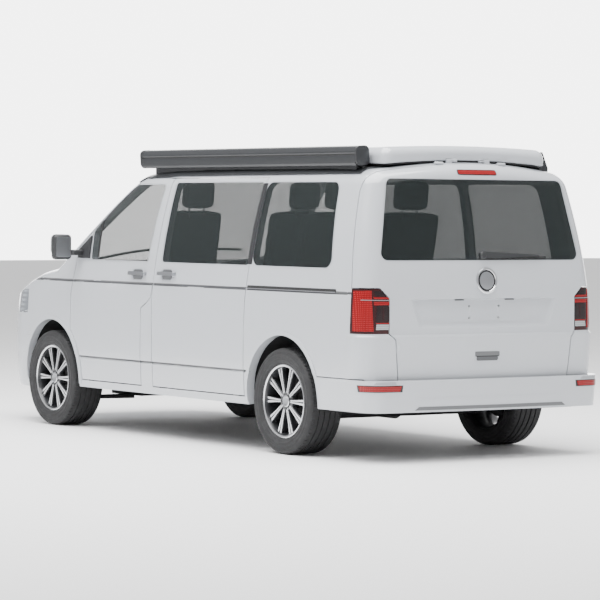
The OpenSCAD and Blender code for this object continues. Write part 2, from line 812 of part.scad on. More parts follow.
kingpin_y = wheel_y - kingpin_inset;
engine_z = 330;
lug_z = 215;                              // lower ball joint's seat
module arm_outline() {
  hull() {
    translate([0, kingpin_y]) circle(r = 18);
    translate([0, 330]) square([60, 20], center = true);
  }
  hull() {
    translate([0, kingpin_y]) circle(r = 18);
    translate([-110, 330]) square([60, 20], center = true);
  }
}
module front_axle() {
  color(black) {
    translate([front_x - 260, -335, 205]) cube([420, 670, 60]);
    translate([front_x - 30, -250, 265]) cube([60, 500, 55]);
    // Pads under the engine and posts up to the floor
    both_sides() translate([front_x + 80, 200, 265]) cube([60, 80, engine_z - 265 - fit]);
    both_sides() translate([front_x - 250, 240, 265]) cube([70, 80, floor_z[0] - 265 - fit]);
    for (side = [1, -1]) scale([1, side, 1]) {
      translate([front_x, 0, lug_z - 32]) linear_extrude(24) arm_outline();
      translate([front_x, kingpin_y, lug_z - 12]) cylinder(r = 13, h = 12 - fit);
      translate([front_x, 330 + fit, tyre_r]) rotate([-90, 0, 0]) cylinder(r = 17, h = kingpin_y - 330 - 82);
    }
  }
}
module rear_axle() {
  color(black) {
    translate([rear_x + 110, -640, 252]) rotate([-90, 0, 0]) cylinder(r = 44, h = 1280);
    both_sides() translate([rear_x + 80, 380, 252]) cube([60, 60, floor_z[0] - 252 - fit]);
    for (side = [1, -1]) scale([1, side, 1]) {
      hull() {
        translate([rear_x + 520, 470, 264]) rotate([-90, 0, 0]) cylinder(r = 34, h = 60, $fn = 32);
        translate([rear_x, 600, 256]) rotate([-90, 0, 0]) cylinder(r = 40, h = 60, $fn = 32);
      }
      translate([rear_x - 30, 620, 256]) cube([60, 40, tyre_r - 256]);
      translate([rear_x, 618, tyre_r]) rotate([-90, 0, 0]) cylinder(r = 48, h = wheel_y + 45 - 618 - fit);
      translate([rear_x, wheel_y + 2, tyre_r]) rotate([-90, 0, 0]) cylinder(r = disc_r, h = 24);
      translate([rear_x + 60, wheel_y - 26, tyre_r + 50]) cube([70, 70, 90]);
    }
  }
}
module powertrain() {
  color("darkslategray") {
    translate([front_x - 100, -330, engine_z]) cube([520, 660, 900 - engine_z]);
    translate([1250, -190, 236]) rotate([0, -90, 0]) cylinder(r = 26, h = 2000);
    translate([-760, -190, 236]) rotate([0, -90, 0]) cylinder(r = 62, h = 380);
    for (x = [1100, -980]) translate([x, -205, 236]) cube([30, 30, floor_z[0] - 236 - fit]);
  }
}

// A knuckle in its wheel's frame: Y points outboard from the tyre's middle plane
module knuckle(side) {
  color("darkgray") translate([front_x, side * wheel_y, tyre_r]) scale([1, side, 1]) {
    translate([0, -99, 0]) rotate([-90, 0, 0]) cylinder(r = 44, h = 99 + 45 - fit);
    translate([0, 2, 0]) rotate([-90, 0, 0]) cylinder(r = disc_r, h = 24);
    translate([-22, -kingpin_inset - 24, lug_z - tyre_r]) cube([44, 48, 270]);
    translate([-22, -kingpin_inset - 150, 120]) cube([44, 150, 22]);
    translate([0, -kingpin_inset - 124, 110]) cylinder(r = 26, h = 310);
    translate([-150, -14, -50]) cube([56, 56, 100]);
    translate([-120, -50, -24]) cube([110, 36, 40]);
  }
}
module knuckle_left() { knuckle(1); }
module knuckle_right() { knuckle(-1); }

flange_r = rim_r + 13;
module tyre_section() {
  side = tyre_w / 2;
  difference() {
    union() {
      translate([rim_r + 24, -side]) offset(r = 26, $fn = 48) offset(delta = -26)
        square([tyre_r - rim_r - 24, tyre_w]);
      polygon([
        [rim_r, -side + 26], [flange_r + 1, -side + 26], [flange_r + 5, -side + 14],
        [rim_r + 60, -side], [rim_r + 60, side], [flange_r + 5, side - 14], [flange_r + 1, side - 26],
        [rim_r, side - 26]]);
    }
    polygon([
      [0, -side + 40], [rim_r + 18, -side + 40], [rim_r + 44, -side + 18], [tyre_r - 24, -side + 18],
      [tyre_r - 14, -side + 36], [tyre_r - 14, side - 36], [tyre_r - 24, side - 18],
      [rim_r + 44, side - 18], [rim_r + 18, side - 40], [0, side - 40]]);
  }
}
module at_wheel(x, side) {
  translate([x, side * wheel_y, tyre_r]) scale([1, side, 1]) rotate([-90, 0, 0]) children();
}
module tyre(x, side) {
  color("#1c1d1f") at_wheel(x, side) rotate_extrude($fn = 96) tyre_section();
}
module rim_section() {
  side = tyre_w / 2 - 24;
  difference() {
    union() {
      translate([rim_r - 20, -side + fit]) square([20 - fit, 2 * side - 2 * fit]);
      for (s = [-1, 1]) translate([rim_r - 20, s > 0 ? side - fit - 8 : -side + fit])
        square([20 - fit, 8]);
      for (s = [-1, 1]) translate([rim_r - 20, s > 0 ? side + fit - 1 : -side - 9])
        square([flange_r - rim_r + 14, 10 - fit]);
    }
    translate([rim_r - fit, -side + 10]) square([flange_r, 2 * side - 20]);
  }
}
module rim(x, side) {
  color("silver") at_wheel(x, side) {
    rotate_extrude($fn = 96) rim_section();
    translate([0, 0, 45]) cylinder(r = 76, h = 48);
    for (i = [0:spokes - 1]) rotate(i * 360 / spokes) translate([0, 0, 62])
      linear_extrude(30) polygon([[60, -19], [rim_r - 12, -15], [rim_r - 12, 15], [60, 19]]);
  }
}
module tyre_front_left() { tyre(front_x, 1); }
module tyre_front_right() { tyre(front_x, -1); }
module tyre_rear_left() { tyre(rear_x, 1); }
module tyre_rear_right() { tyre(rear_x, -1); }
module rim_front_left() { rim(front_x, 1); }
module rim_front_right() { rim(front_x, -1); }
module rim_rear_left() { rim(rear_x, 1); }
module rim_rear_right() { rim(rear_x, -1); }

// ---- Cabin ------------------------------------------------------------------------------------
wheel_seat_y = -400;
house_top_z = arch_z + house_r + house_t + 8;
column_r = 26;
module at_steering_column() {
  translate([1080, wheel_seat_y, 1010]) rotate([0, 118, 0]) children();
}
module dashboard() {
  color(black) {
    difference() {
      union() {
        from_side(-790, 790) polygon([
          [firewall_x - fit, house_top_z], [firewall_x - fit, 1095], [1340, 1100], [1180, 1074],
          [1150, 990], [1230, house_top_z]]);
        from_side(-front_house_y + 10, front_house_y - 10) polygon([
          [firewall_x - fit, 560], [firewall_x - fit, house_top_z], [1230, house_top_z], [1250, 560]]);
      }
      at_steering_column() cylinder(r = column_r + fit, h = 300);
    }
  }
}
module steering_wheel() {
  color(black) at_steering_column() {
    rotate_extrude() translate([180, 0]) circle(r = 15);
    cylinder(r = 62, h = 34, center = true);
    for (a = [0, 120, 240]) rotate(a) translate([50, -16, -7]) cube([120, 32, 14]);
    cylinder(r = column_r, h = 190);
  }
}
module seat_back_outline() {
  polygon([[0, 0], [-150, 540], [-90, 580], [-20, 560], [120, 40], [100, -20]]);
}
module front_seats() {
  color("#4a4c4e") for (side = [1, -1]) scale([1, side, 1]) {
    from_side(210, 690) {
      translate([0, floor_z[1] + fit]) polygon([[600, 0], [960, 0], [960, 230], [600, 230]]);
      polygon([[520, 570], [1040, 570], [1060, 640], [1020, 700], [560, 700], [500, 640]]);
      translate([480, 640]) seat_back_outline();
    }
    from_side(320, 580) polygon([[340, 1190], [300, 1400], [330, 1440], [390, 1440], [420, 1400], [430, 1180]]);
  }
}
bench_y = [-455, 650];
module rear_bench() {
  color("#4a4c4e") {
    from_side(bench_y[0], bench_y[1]) {
      translate([0, floor_z[1] + fit]) polygon([[-1120, 0], [-600, 0], [-600, 250], [-1120, 250]]);
      polygon([[-1180, 590], [-540, 590], [-520, 650], [-560, 720], [-1180, 720]]);
      translate([-1180, 650]) seat_back_outline();
    }
    for (y = [-200, 380]) from_side(y - 130, y + 130)
      polygon([[-1320, 1190], [-1350, 1400], [-1320, 1440], [-1260, 1440], [-1230, 1400], [-1220, 1180]]);
  }
}
module kitchen_unit() {
  color("lightgray") difference() {
    translate([-1240, -868, floor_z[1] + fit]) cube([1180, 400, 760]);
    translate([-1200, -868 + 24, floor_z[1] + 40]) cube([1100, 380, 700]);
    wheel_space_block();
  }
}
module wheel_space_block() {
  translate([rear_x, -far, arch_z]) rotate([-90, 0, 0]) cylinder(r = house_r + house_t + 4, h = 2 * far);
}

// ---- Hinges, mirrors and the wiper ---------------------------------------------------------------
module mirror(side) {
  color(charcoal) scale([1, side, 1]) {
    panel() {
      body_wall(-14, -fit);
      from_side(0, far) polygon([[1022, belt_z + 6], [1022, 1380], [1180, belt_z + 70], [1190, belt_z + 6]]);
    }
    hull() {
      translate([1100, 922, 1240]) cube([60, 10, 40]);
      translate([1150, 1000, 1240]) cube([40, 10, 60]);
    }
    hull() {
      translate([1140, 1000, 1200]) cube([50, 10, 150]);
      translate([1140, 1130, 1215]) cube([40, 16, 150]);
      translate([1220, 1020, 1230]) cube([16, 90, 110]);
      translate([1140, 1020, 1380]) cube([50, 90, 8]);
    }
  }
}
module mirror_left() { mirror(1); }
module mirror_right() { mirror(-1); }
wiper_z = 1292;
module rear_wiper() {
  color(black) resize([0, 0, 0]) difference() {
    union() {
      translate([-2372, 20, wiper_z]) rotate([0, 90, 0]) cylinder(r = 20, h = 60, $fn = 32);
      translate([-2362, -500, wiper_z - 14]) cube([30, 520, 16]);
    }
    body_skin(glass_inset - fit);
  }
}

floor_pan();
left_side_panel();
right_side_panel();
roof_frame();
front_wings();
cowl_panel();
front_bumper();
grille();
headlights();
windscreen();
sliding_door();
side_windows();
tail_lamps();
rear_bumper();
awning();
roof_rails();
powertrain();
front_axle();
rear_axle();
dashboard();
steering_wheel();
front_seats();
rear_bench();
kitchen_unit();
roof_canvas();
front_door_left();
door_glass_left();
mirror_left();
front_door_right();
door_glass_right();
mirror_right();
tailgate();
rear_window();
rear_wiper();
bonnet();
pop_roof();
knuckle_left();
knuckle_right();
tyre_front_left();
rim_front_left();
tyre_front_right();
rim_front_right();
tyre_rear_left();
rim_rear_left();
tyre_rear_right();
rim_rear_right();
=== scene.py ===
"""Looks of a camper van with a pop-up roof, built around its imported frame.

The skin of the body is worked out again at a fine pitch, and each painted panel and pane is laid
on it, so that panels keep the shut lines of the frame and get a smooth surface. Everything else is
a class for each sub-assembly, in metres, with +X forward, +Y left and +Z up.
"""

import logging
import math
from dataclasses import dataclass
from enum import Enum
from typing import Callable, Iterable, Sequence

import bmesh
import bpy
import numpy as np
from mathutils import Matrix, Vector, interpolate
from mathutils.bvhtree import BVHTree


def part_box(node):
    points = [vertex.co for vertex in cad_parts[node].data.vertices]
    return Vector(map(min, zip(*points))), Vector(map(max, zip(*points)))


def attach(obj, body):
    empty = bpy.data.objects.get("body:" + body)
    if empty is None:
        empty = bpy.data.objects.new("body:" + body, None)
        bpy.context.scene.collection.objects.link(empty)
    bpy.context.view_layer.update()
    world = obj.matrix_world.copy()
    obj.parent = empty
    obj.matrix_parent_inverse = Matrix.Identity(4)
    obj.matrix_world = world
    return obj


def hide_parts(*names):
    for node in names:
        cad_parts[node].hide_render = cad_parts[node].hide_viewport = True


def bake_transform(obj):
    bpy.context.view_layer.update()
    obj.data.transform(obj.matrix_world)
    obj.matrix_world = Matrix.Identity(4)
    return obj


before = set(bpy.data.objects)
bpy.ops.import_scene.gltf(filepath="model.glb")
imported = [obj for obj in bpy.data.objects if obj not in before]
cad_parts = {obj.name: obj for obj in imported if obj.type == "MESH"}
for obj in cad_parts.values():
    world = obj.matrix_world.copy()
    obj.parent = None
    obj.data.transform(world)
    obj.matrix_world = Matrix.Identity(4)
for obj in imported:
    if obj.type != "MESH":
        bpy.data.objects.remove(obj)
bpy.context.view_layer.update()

LOG = logging.getLogger("camper")
Point2 = tuple[float, float]
Colour = tuple[float, float, float]


# ---- Finishes ---------------------------------------------------------------------------


class Value:
    """A number that a material works out over its surface, with the usual operators."""

    def __init__(self, graph: "Graph", socket: bpy.types.NodeSocket) -> None:
        """Wrap one output socket of a graph."""
        self.graph = graph
        self.socket = socket

    def _math(self, operation: str, first: object, second: object) -> "Value":
        """Add one Math node.

        Args:
            operation: The node's operation.
            first: A Value or a number.
            second: A Value or a number.

        Returns:
            The node's result.
        """
        node = self.graph.node("ShaderNodeMath", {"operation": operation}, {0: first, 1: second})
        return Value(self.graph, node.outputs[0])

    def __add__(self, other: object) -> "Value":
        """Sum."""
        return self._math("ADD", self, other)

    __radd__ = __add__

    def __sub__(self, other: object) -> "Value":
        """Difference."""
        return self._math("SUBTRACT", self, other)

    def __rsub__(self, other: object) -> "Value":
        """Difference from a number."""
        return self._math("SUBTRACT", other, self)

    def __mul__(self, other: object) -> "Value":
        """Product."""
        return self._math("MULTIPLY", self, other)

    __rmul__ = __mul__

    def __truediv__(self, other: object) -> "Value":
        """Quotient."""
        return self._math("DIVIDE", self, other)

    def __pow__(self, other: object) -> "Value":
        """Power."""
        return self._math("POWER", self, other)

    def clamped(self) -> "Value":
        """Keep between 0 and 1."""
        return self._math("MINIMUM", self._math("MAXIMUM", self, 0.0), 1.0)

    def ramp(self, low: float, high: float) -> "Value":
        """Rise from 0 at low to 1 at high, and stay there."""
        return ((self - low) / (high - low)).clamped()

    def wave(self, pitch: float) -> "Value":
        """A sine from 0 to 1 with a pitch, in metres."""
        sine = self._math("SINE", self * (2 * math.pi / pitch), 0.0)
        return sine * 0.5 + 0.5


class Graph:
    """The node tree of one material."""

    def __init__(self, material: bpy.types.Material) -> None:
        """Clear the material's tree and put one Principled shader in it."""
        material.use_nodes = True
        self.tree = material.node_tree
        self.tree.nodes.clear()
        self.shader = self.node("ShaderNodeBsdfPrincipled")
        output = self.node("ShaderNodeOutputMaterial")
        self.tree.links.new(self.shader.outputs[0], output.inputs[0])
        self.place = self.node("ShaderNodeTexCoord").outputs["Object"]

    def node(self, kind: str, settings: dict | None = None, inputs: dict | None = None) -> bpy.types.Node:
        """Add one node.

        Args:
            kind: The node's type.
            settings: Its properties, set first.
            inputs: Values, sockets or Values for its inputs, by name or number.

        Returns:
            The node.
        """
        made = self.tree.nodes.new(kind)
        for name, value in (settings or {}).items():
            setattr(made, name, value)
        for name, value in (inputs or {}).items():
            socket = made.inputs[name]
            if isinstance(value, Value):
                self.tree.links.new(value.socket, socket)
            elif isinstance(value, bpy.types.NodeSocket):
                self.tree.links.new(value, socket)
            else:
                socket.default_value = value
        return made

    def noise(self, size: float, detail: float = 3.0, stretch: Colour = (1, 1, 1)) -> Value:
        """Soft noise from 0 to 1 whose spots are about size metres wide."""
        where = self.node("ShaderNodeMapping", {}, {"Vector": self.place, "Scale": stretch}).outputs[0]
        inputs = {"Vector": where, "Scale": 1 / size, "Detail": detail}
        return Value(self, self.node("ShaderNodeTexNoise", {}, inputs).outputs[0])

    def cells(self, size: float) -> Value:
        """Distance to the nearest cell centre, for leather and moulded grain."""
        inputs = {"Vector": self.place, "Scale": 1 / size}
        return Value(self, self.node("ShaderNodeTexVoronoi", {}, inputs).outputs[0])

    def axes(self) -> tuple[Value, Value, Value]:
        """X, Y and Z of the surface, in metres."""
        parts = self.node("ShaderNodeSeparateXYZ", {}, {0: self.place}).outputs
        return Value(self, parts[0]), Value(self, parts[1]), Value(self, parts[2])

    def blend(self, factor: Value, first: Colour, second: Colour) -> bpy.types.NodeSocket:
        """A colour between two, by a factor."""
        settings = {"data_type": "RGBA"}
        made = self.node("ShaderNodeMix", settings, {0: factor})
        made.inputs[6].default_value = (*first, 1)
        made.inputs[7].default_value = (*second, 1)
        return made.outputs[2]

    def connect(self, name: str, value: object) -> None:
        """Link a varying value to one of the shader's inputs."""
        socket = value.socket if isinstance(value, Value) else value
        self.tree.links.new(socket, self.shader.inputs[name])

    def relief(self, height: Value, depth: float) -> None:
        """Bump the surface by a height whose full swing is depth metres."""
        made = self.node("ShaderNodeBump", {}, {"Height": height, "Distance": depth, "Strength": 1.0})
        self.connect("Normal", made.outputs[0])


def shade(colour: Colour, by: float) -> Colour:
    """The colour made lighter or darker by a factor."""
    return tuple(min(1.0, c * by) for c in colour)


@dataclass(frozen=True)
class Finish:
    """A plain smooth finish; the others add to it."""

    name: str
    colour: Colour
    roughness: float = 0.4
    metallic: float = 0.0
    coat: float = 0.0
    alpha: float = 1.0
    spots: float = 0.05
    dusty: float = 0.10

    def build(self) -> bpy.types.Material:
        """Make the material, or return it if it is there already."""
        found = bpy.data.materials.get(self.name)
        if found:
            return found
        material = bpy.data.materials.new(self.name)
        graph = Graph(material)
        inputs = graph.shader.inputs
        inputs["Metallic"].default_value = self.metallic
        inputs["Coat Weight"].default_value = self.coat
        inputs["Coat Roughness"].default_value = 0.03
        inputs["Alpha"].default_value = self.alpha
        self.surface(graph)
        return material

    def surface(self, graph: Graph) -> None:
        """Colour and roughness that vary a little, with dust that thins out upwards."""
        mottle = graph.noise(0.09, 4.0)
        low = 1 - graph.axes()[2].ramp(0.25, 0.95)
        amount = (mottle * self.spots * 4 + low * mottle * self.dusty).clamped()
        graph.connect("Base Color", graph.blend(amount, self.colour, shade(self.colour, 0.82)))
        graph.connect("Roughness", (mottle * 0.12 + (self.roughness - 0.04)).clamped())
        self.texture(graph)

    def texture(self, graph: Graph) -> None:
        """Bump of the surface; a smooth finish has none."""


@dataclass(frozen=True)
class Paint(Finish):
    """Clear-coated body paint with a faint orange peel."""

    def texture(self, graph: Graph) -> None:
        """Orange peel."""
        graph.relief(graph.noise(0.006, 1.0), 0.000012)


@dataclass(frozen=True)
class Moulded(Finish):
    """Moulded plastic or rubber with a fine grain."""

    grain: float = 0.0012

    def texture(self, graph: Graph) -> None:
        """Cells of the mould's grain."""
        graph.relief(graph.cells(self.grain) + graph.noise(self.grain * 3), 0.00012)


@dataclass(frozen=True)
class Turned(Finish):
    """Metal turned or brushed in fine lines."""

    def texture(self, graph: Graph) -> None:
        """Fine lines along X."""
        graph.relief(graph.noise(0.0016, 2.0, (0.05, 1, 1)), 0.00003)


@dataclass(frozen=True)
class Lens(Finish):
    """A coloured lamp lens with fine optics behind its surface."""

    pitch: float = 0.007

    def surface(self, graph: Graph) -> None:
        """Upright flutes crossed by level ones, lighter on their crests."""
        _, y, z = graph.axes()
        flutes = y.wave(self.pitch) * z.wave(self.pitch * 1.7)
        graph.connect("Base Color", graph.blend(flutes, shade(self.colour, 0.62), shade(self.colour, 1.25)))
        graph.connect("Roughness", flutes * 0.08 + self.roughness)


@dataclass(frozen=True)
class Woven(Finish):
    """Cloth with a visible weave."""

    thread: float = 0.0022

    def surface(self, graph: Graph) -> None:
        """Threads that cross, with soft shading between them."""
        x, y, z = graph.axes()
        weave = (x + z).wave(self.thread) * (y + z * 0.5).wave(self.thread)
        worn = graph.noise(0.12)
        tone = (weave * 0.5 + worn * 0.5).clamped()
        graph.connect("Base Color", graph.blend(tone, shade(self.colour, 0.7), shade(self.colour, 1.3)))
        graph.connect("Roughness", worn * 0.1 + (self.roughness - 0.05))
        graph.relief(weave, 0.0004)


@dataclass(frozen=True)
class Tyre(Finish):
    """Rubber with greyer patches of dust."""

    def surface(self, graph: Graph) -> None:
        """Dust in patches, and the mould's fine grain."""
        dust = graph.noise(0.05, 5.0).ramp(0.45, 0.8)
        graph.connect("Base Color", graph.blend(dust * 0.5, self.colour, shade(self.colour, 2.2)))
        graph.connect("Roughness", graph.noise(0.02) * 0.15 + self.roughness)
        graph.relief(graph.noise(0.002, 2.0), 0.0001)


WHITE = Paint("paint_white", (0.50, 0.52, 0.55), 0.30, coat=1.0, spots=0.01, dusty=0.16)
# A dark copy of the white paint: painted shade in the bottoms of the pressed lines and in the tailgate
# handle's cup.
PAINTED_SHADE_WHITE = Paint("paint_painted_shade", (0.085, 0.088, 0.094), 0.45, coat=0.3, spots=0.02)
GAP_BLACK = Moulded("seal_black", (0.012, 0.012, 0.013), 0.55)
TRIM_BLACK = Moulded("trim_black", (0.022, 0.023, 0.025), 0.48)
GLOSS_BLACK = Paint("gloss_black", (0.012, 0.012, 0.014), 0.12, coat=0.6)
TRIM_GREY = Moulded("trim_grey", (0.13, 0.135, 0.14), 0.5)
# Grey used for a painted shadow above the rear reflectors.
PAINTED_SHADOW_GREY = Moulded("painted_shadow_grey", (0.33, 0.34, 0.36), 0.5)
ANTHRACITE = Paint("case_anthracite", (0.030, 0.032, 0.035), 0.34, metallic=0.35, coat=0.2)
SMOKED = Finish("glass_smoked", (0.012, 0.017, 0.017), 0.03, alpha=0.62, spots=0.01, dusty=0.0)
TINTED = Finish("glass_tinted", (0.020, 0.026, 0.025), 0.03, alpha=0.40, spots=0.01, dusty=0.0)
FRIT = Finish("glass_frit", (0.006, 0.006, 0.007), 0.06, coat=0.4, spots=0.01, dusty=0.0)
CHROME = Turned("bright_metal", (0.72, 0.73, 0.75), 0.10, metallic=1.0)
SATIN = Turned("satin_metal", (0.36, 0.37, 0.39), 0.32, metallic=0.9)
TURNED_FACE = Turned("rim_face", (0.74, 0.75, 0.77), 0.20, metallic=0.95)
RIM_DARK = Paint("rim_pocket", (0.030, 0.031, 0.034), 0.32, metallic=0.3, coat=0.5)
DISC = Turned("brake_disc", (0.33, 0.33, 0.34), 0.35, metallic=1.0)
CAST = Moulded("cast_iron", (0.10, 0.10, 0.10), 0.62, metallic=0.5, grain=0.003)
UNDERBODY = Moulded("underbody_coating", (0.018, 0.018, 0.019), 0.82, grain=0.006)
RUBBER = Tyre("tyre_rubber", (0.017, 0.017, 0.018), 0.66)
RED_LENS = Lens("lens_red", (0.30, 0.001, 0.003), 0.22, coat=0.1)
DARK_RED_LENS = Lens("lens_deep_red", (0.035, 0.001, 0.002), 0.16, coat=0.25)
SMOKED_LENS = Lens("lens_smoked", (0.012, 0.003, 0.004), 0.14, coat=0.3)
CLEAR_LENS = Lens("lens_clear", (0.52, 0.55, 0.56), 0.12, metallic=0.35, coat=0.8)
LAMP_GLASS = Lens("lens_headlamp", (0.42, 0.46, 0.50), 0.08, metallic=0.45, coat=1.0, pitch=0.02)
SEAT_CLOTH = Woven("seat_cloth", (0.055, 0.058, 0.062), 0.92)
BOLSTER = Moulded("seat_bolster", (0.030, 0.031, 0.034), 0.6, grain=0.002)
LAMINATE = Paint("cabinet_laminate", (0.44, 0.42, 0.39), 0.42)
CANVAS = Woven("roof_cloth", (0.16, 0.18, 0.20), 0.9, thread=0.003)


# ---- Meshes --------------------------------------------------------------------------------


class Shape:
    """One mesh under construction, finished as a piece that rides on a body."""

    def __init__(self) -> None:
        """Start empty."""
        self.bm = bmesh.new()
        self.finishes: list[Finish] = []

    def slot_of(self, finish: Finish | None) -> int:
        """The number of a finish on this piece, added if it is new."""
        if finish is None:
            return 0
        if finish not in self.finishes:
            self.finishes.append(finish)
        return self.finishes.index(finish)

    def dress(self, faces: Iterable[bmesh.types.BMFace], finish: Finish | None) -> None:
        """Give faces a finish."""
        number = self.slot_of(finish)
        for face in faces:
            face.material_index = number

    def block(
        self, low: Sequence[float], high: Sequence[float], round_by: float = 0.0,
        finish: Finish | None = None,
    ) -> list[bmesh.types.BMVert]:
        """Add a box with eased edges.

        Args:
            low: Its lowest corner.
            high: Its highest corner.
            round_by: Radius of its edges.
            finish: What it is made of.

        Returns:
            Its vertices.
        """
        low, high = Vector(low), Vector(high)
        matrix = Matrix.Translation((low + high) / 2) @ Matrix.Diagonal((*(high - low), 1))
        made = bmesh.ops.create_cube(self.bm, size=1, matrix=matrix)["verts"]
        return self._ease(made, round_by, finish)

    def _ease(self, verts: list, round_by: float, finish: Finish | None, segments: int = 3) -> list:
        """Bevel every edge of new vertices, and dress their faces."""
        edges = {e for v in verts for e in v.link_edges}
        faces = {f for v in verts for f in v.link_faces}
        if round_by > 0:
            made = bmesh.ops.bevel(
                self.bm, geom=list(edges), offset=round_by, affect="EDGES", segments=segments,
                profile=0.5, material=-1,
            )
            faces = {f for f in faces if f.is_valid} | set(made["faces"])
        self.dress(faces, finish)
        return list({v for f in faces for v in f.verts})

    def prism(
        self, outline: Sequence[Point2], low: float, high: float, turn: Matrix,
        round_by: float = 0.0, finish: Finish | None = None,
    ) -> list:
        """Extrude an outline.

        Args:
            outline: Its points, in the plane of the first two axes.
            low: Where it starts along the third axis.
            high: Where it ends.
            turn: Puts the three axes in place.
            round_by: Radius of its edges.
            finish: What it is made of.

        Returns:
            Its vertices.
        """
        base = [self.bm.verts.new(turn @ Vector((u, v, low))) for u, v in outline]
        face = self.bm.faces.new(base)
        grown = bmesh.ops.extrude_face_region(self.bm, geom=[face])["geom"]
        top = [g for g in grown if isinstance(g, bmesh.types.BMVert)]
        bmesh.ops.translate(self.bm, verts=top, vec=turn.to_3x3() @ Vector((0, 0, high - low)))
        return self._ease(base + top, round_by, finish, 2)

    def turned(
        self, profile: Sequence[Point2], centre: Sequence[float], axis: Sequence[float],
        finish: Finish | None = None, steps: int = 72,
    ) -> None:
        """Spin a profile of (radius, distance along the axis) about an axis.

        Args:
            profile: The points, closed by the axis or by their last point.
            centre: Where distance and radius are nought.
            axis: The way that distance runs.
            finish: What it is made of.
            steps: Steps in a whole turn.
        """
        axis, centre = Vector(axis).normalized(), Vector(centre)
        out = axis.orthogonal().normalized()
        verts = [self.bm.verts.new(centre + out * r + axis * d) for r, d in profile]
        edges = [self.bm.edges.new(pair) for pair in zip(verts, verts[1:])]
        before = set(self.bm.faces)
        bmesh.ops.spin(
            self.bm, geom=verts + edges, cent=centre, axis=axis, angle=2 * math.pi, steps=steps,
            use_merge=True,
        )
        self.dress([f for f in self.bm.faces if f not in before], finish)

    def loop(self, ring: Sequence[bmesh.types.BMVert]) -> list[bmesh.types.BMEdge]:
        """Join vertices in a closed ring of edges."""
        return [self.bm.edges.new((ring[i], ring[(i + 1) % len(ring)])) for i in range(len(ring))]

    def piece(
        self, name: str, body: str, slot: str, replaces: Sequence[str] = (), smooth: float = 35.0,
        merge: float = 1e-5,
    ) -> bpy.types.Object:
        """Turn the mesh into a piece.

        Args:
            name: The piece's name.
            body: The body that it rides on.
            slot: The record's material slot; not used.
            replaces: The nodes of the frame that it stands for.
            smooth: Edges flatter than this many degrees are shaded smooth.
            merge: Vertices closer than this are one.

        Returns:
            The object.
        """
        bmesh.ops.remove_doubles(self.bm, verts=self.bm.verts[:], dist=merge)
        bmesh.ops.recalc_face_normals(self.bm, faces=self.bm.faces[:])
        mesh = bpy.data.meshes.new(name)
        self.bm.to_mesh(mesh)
        self.bm.free()
        mesh.polygons.foreach_set("use_smooth", [True] * len(mesh.polygons))
        mesh.set_sharp_from_angle(angle=math.radians(smooth))
        return seat(mesh, name, self.finishes, body, replaces)


def seat(
    mesh: bpy.types.Mesh, name: str, finishes: Sequence[Finish], body: str | None,
    replaces: Sequence[str] = (),
) -> bpy.types.Object:
    """Make a mesh an object of the scene.

    Args:
        mesh: The finished mesh, in the frame's own place.
        name: The piece's name.
        finishes: Its finishes, in the order of its material numbers.
        body: The body that it rides on, or None to leave it unattached.
        replaces: The nodes that it stands for.

    Returns:
        The object.
    """
    piece = bpy.data.objects.new(name, mesh)
    bpy.context.scene.collection.objects.link(piece)
    for finish in finishes:
        mesh.materials.append(finish.build())
    if body:
        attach(piece, body)
    if replaces:
        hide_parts(*replaces)
    LOG.info("%s on %s: %d faces", name, body, len(mesh.polygons))
    return piece


def eased(outline: Sequence[Point2], radius: float, steps: int = 6) -> list[Point2]:
    """Round the corners of an outline.

    Args:
        outline: Its corners in order.
        radius: Radius of each corner, less where its edges are short.
        steps: Steps along each rounded corner.

    Returns:
        The points of the rounded outline.
    """
    made: list[Point2] = []
    count = len(outline)
    for i, corner in enumerate(outline):
        here = Vector(corner)
        back, ahead = Vector(outline[i - 1]) - here, Vector(outline[(i + 1) % count]) - here
        half = back.angle(ahead) / 2
        reach = min(radius / math.tan(half), back.length * 0.45, ahead.length * 0.45)
        start, end = here + back.normalized() * reach, here + ahead.normalized() * reach
        for s in range(steps + 1):
            t = s / steps
            point = start.lerp(here, t).lerp(here.lerp(end, t), t)
            made.append((point.x, point.y))
    return made


def spaced(outline: Sequence[Point2], pitch: float) -> list[Vector]:
    """Points about a pitch apart along a closed outline, its own corners among them."""
    points = []
    for i, corner in enumerate(outline):
        here, ahead = Vector(corner), Vector(outline[(i + 1) % len(outline)])
        steps = max(1, round((ahead - here).length / pitch))
        points += [here.lerp(ahead, s / steps) for s in range(steps)]
    return points


# ---- The curved skin ----------------------------------------------------------------------


def ease(v: np.ndarray) -> np.ndarray:
    """Smooth step from 0 to 1."""
    c = np.clip(v, 0, 1)
    return c * c * (3 - 2 * c)


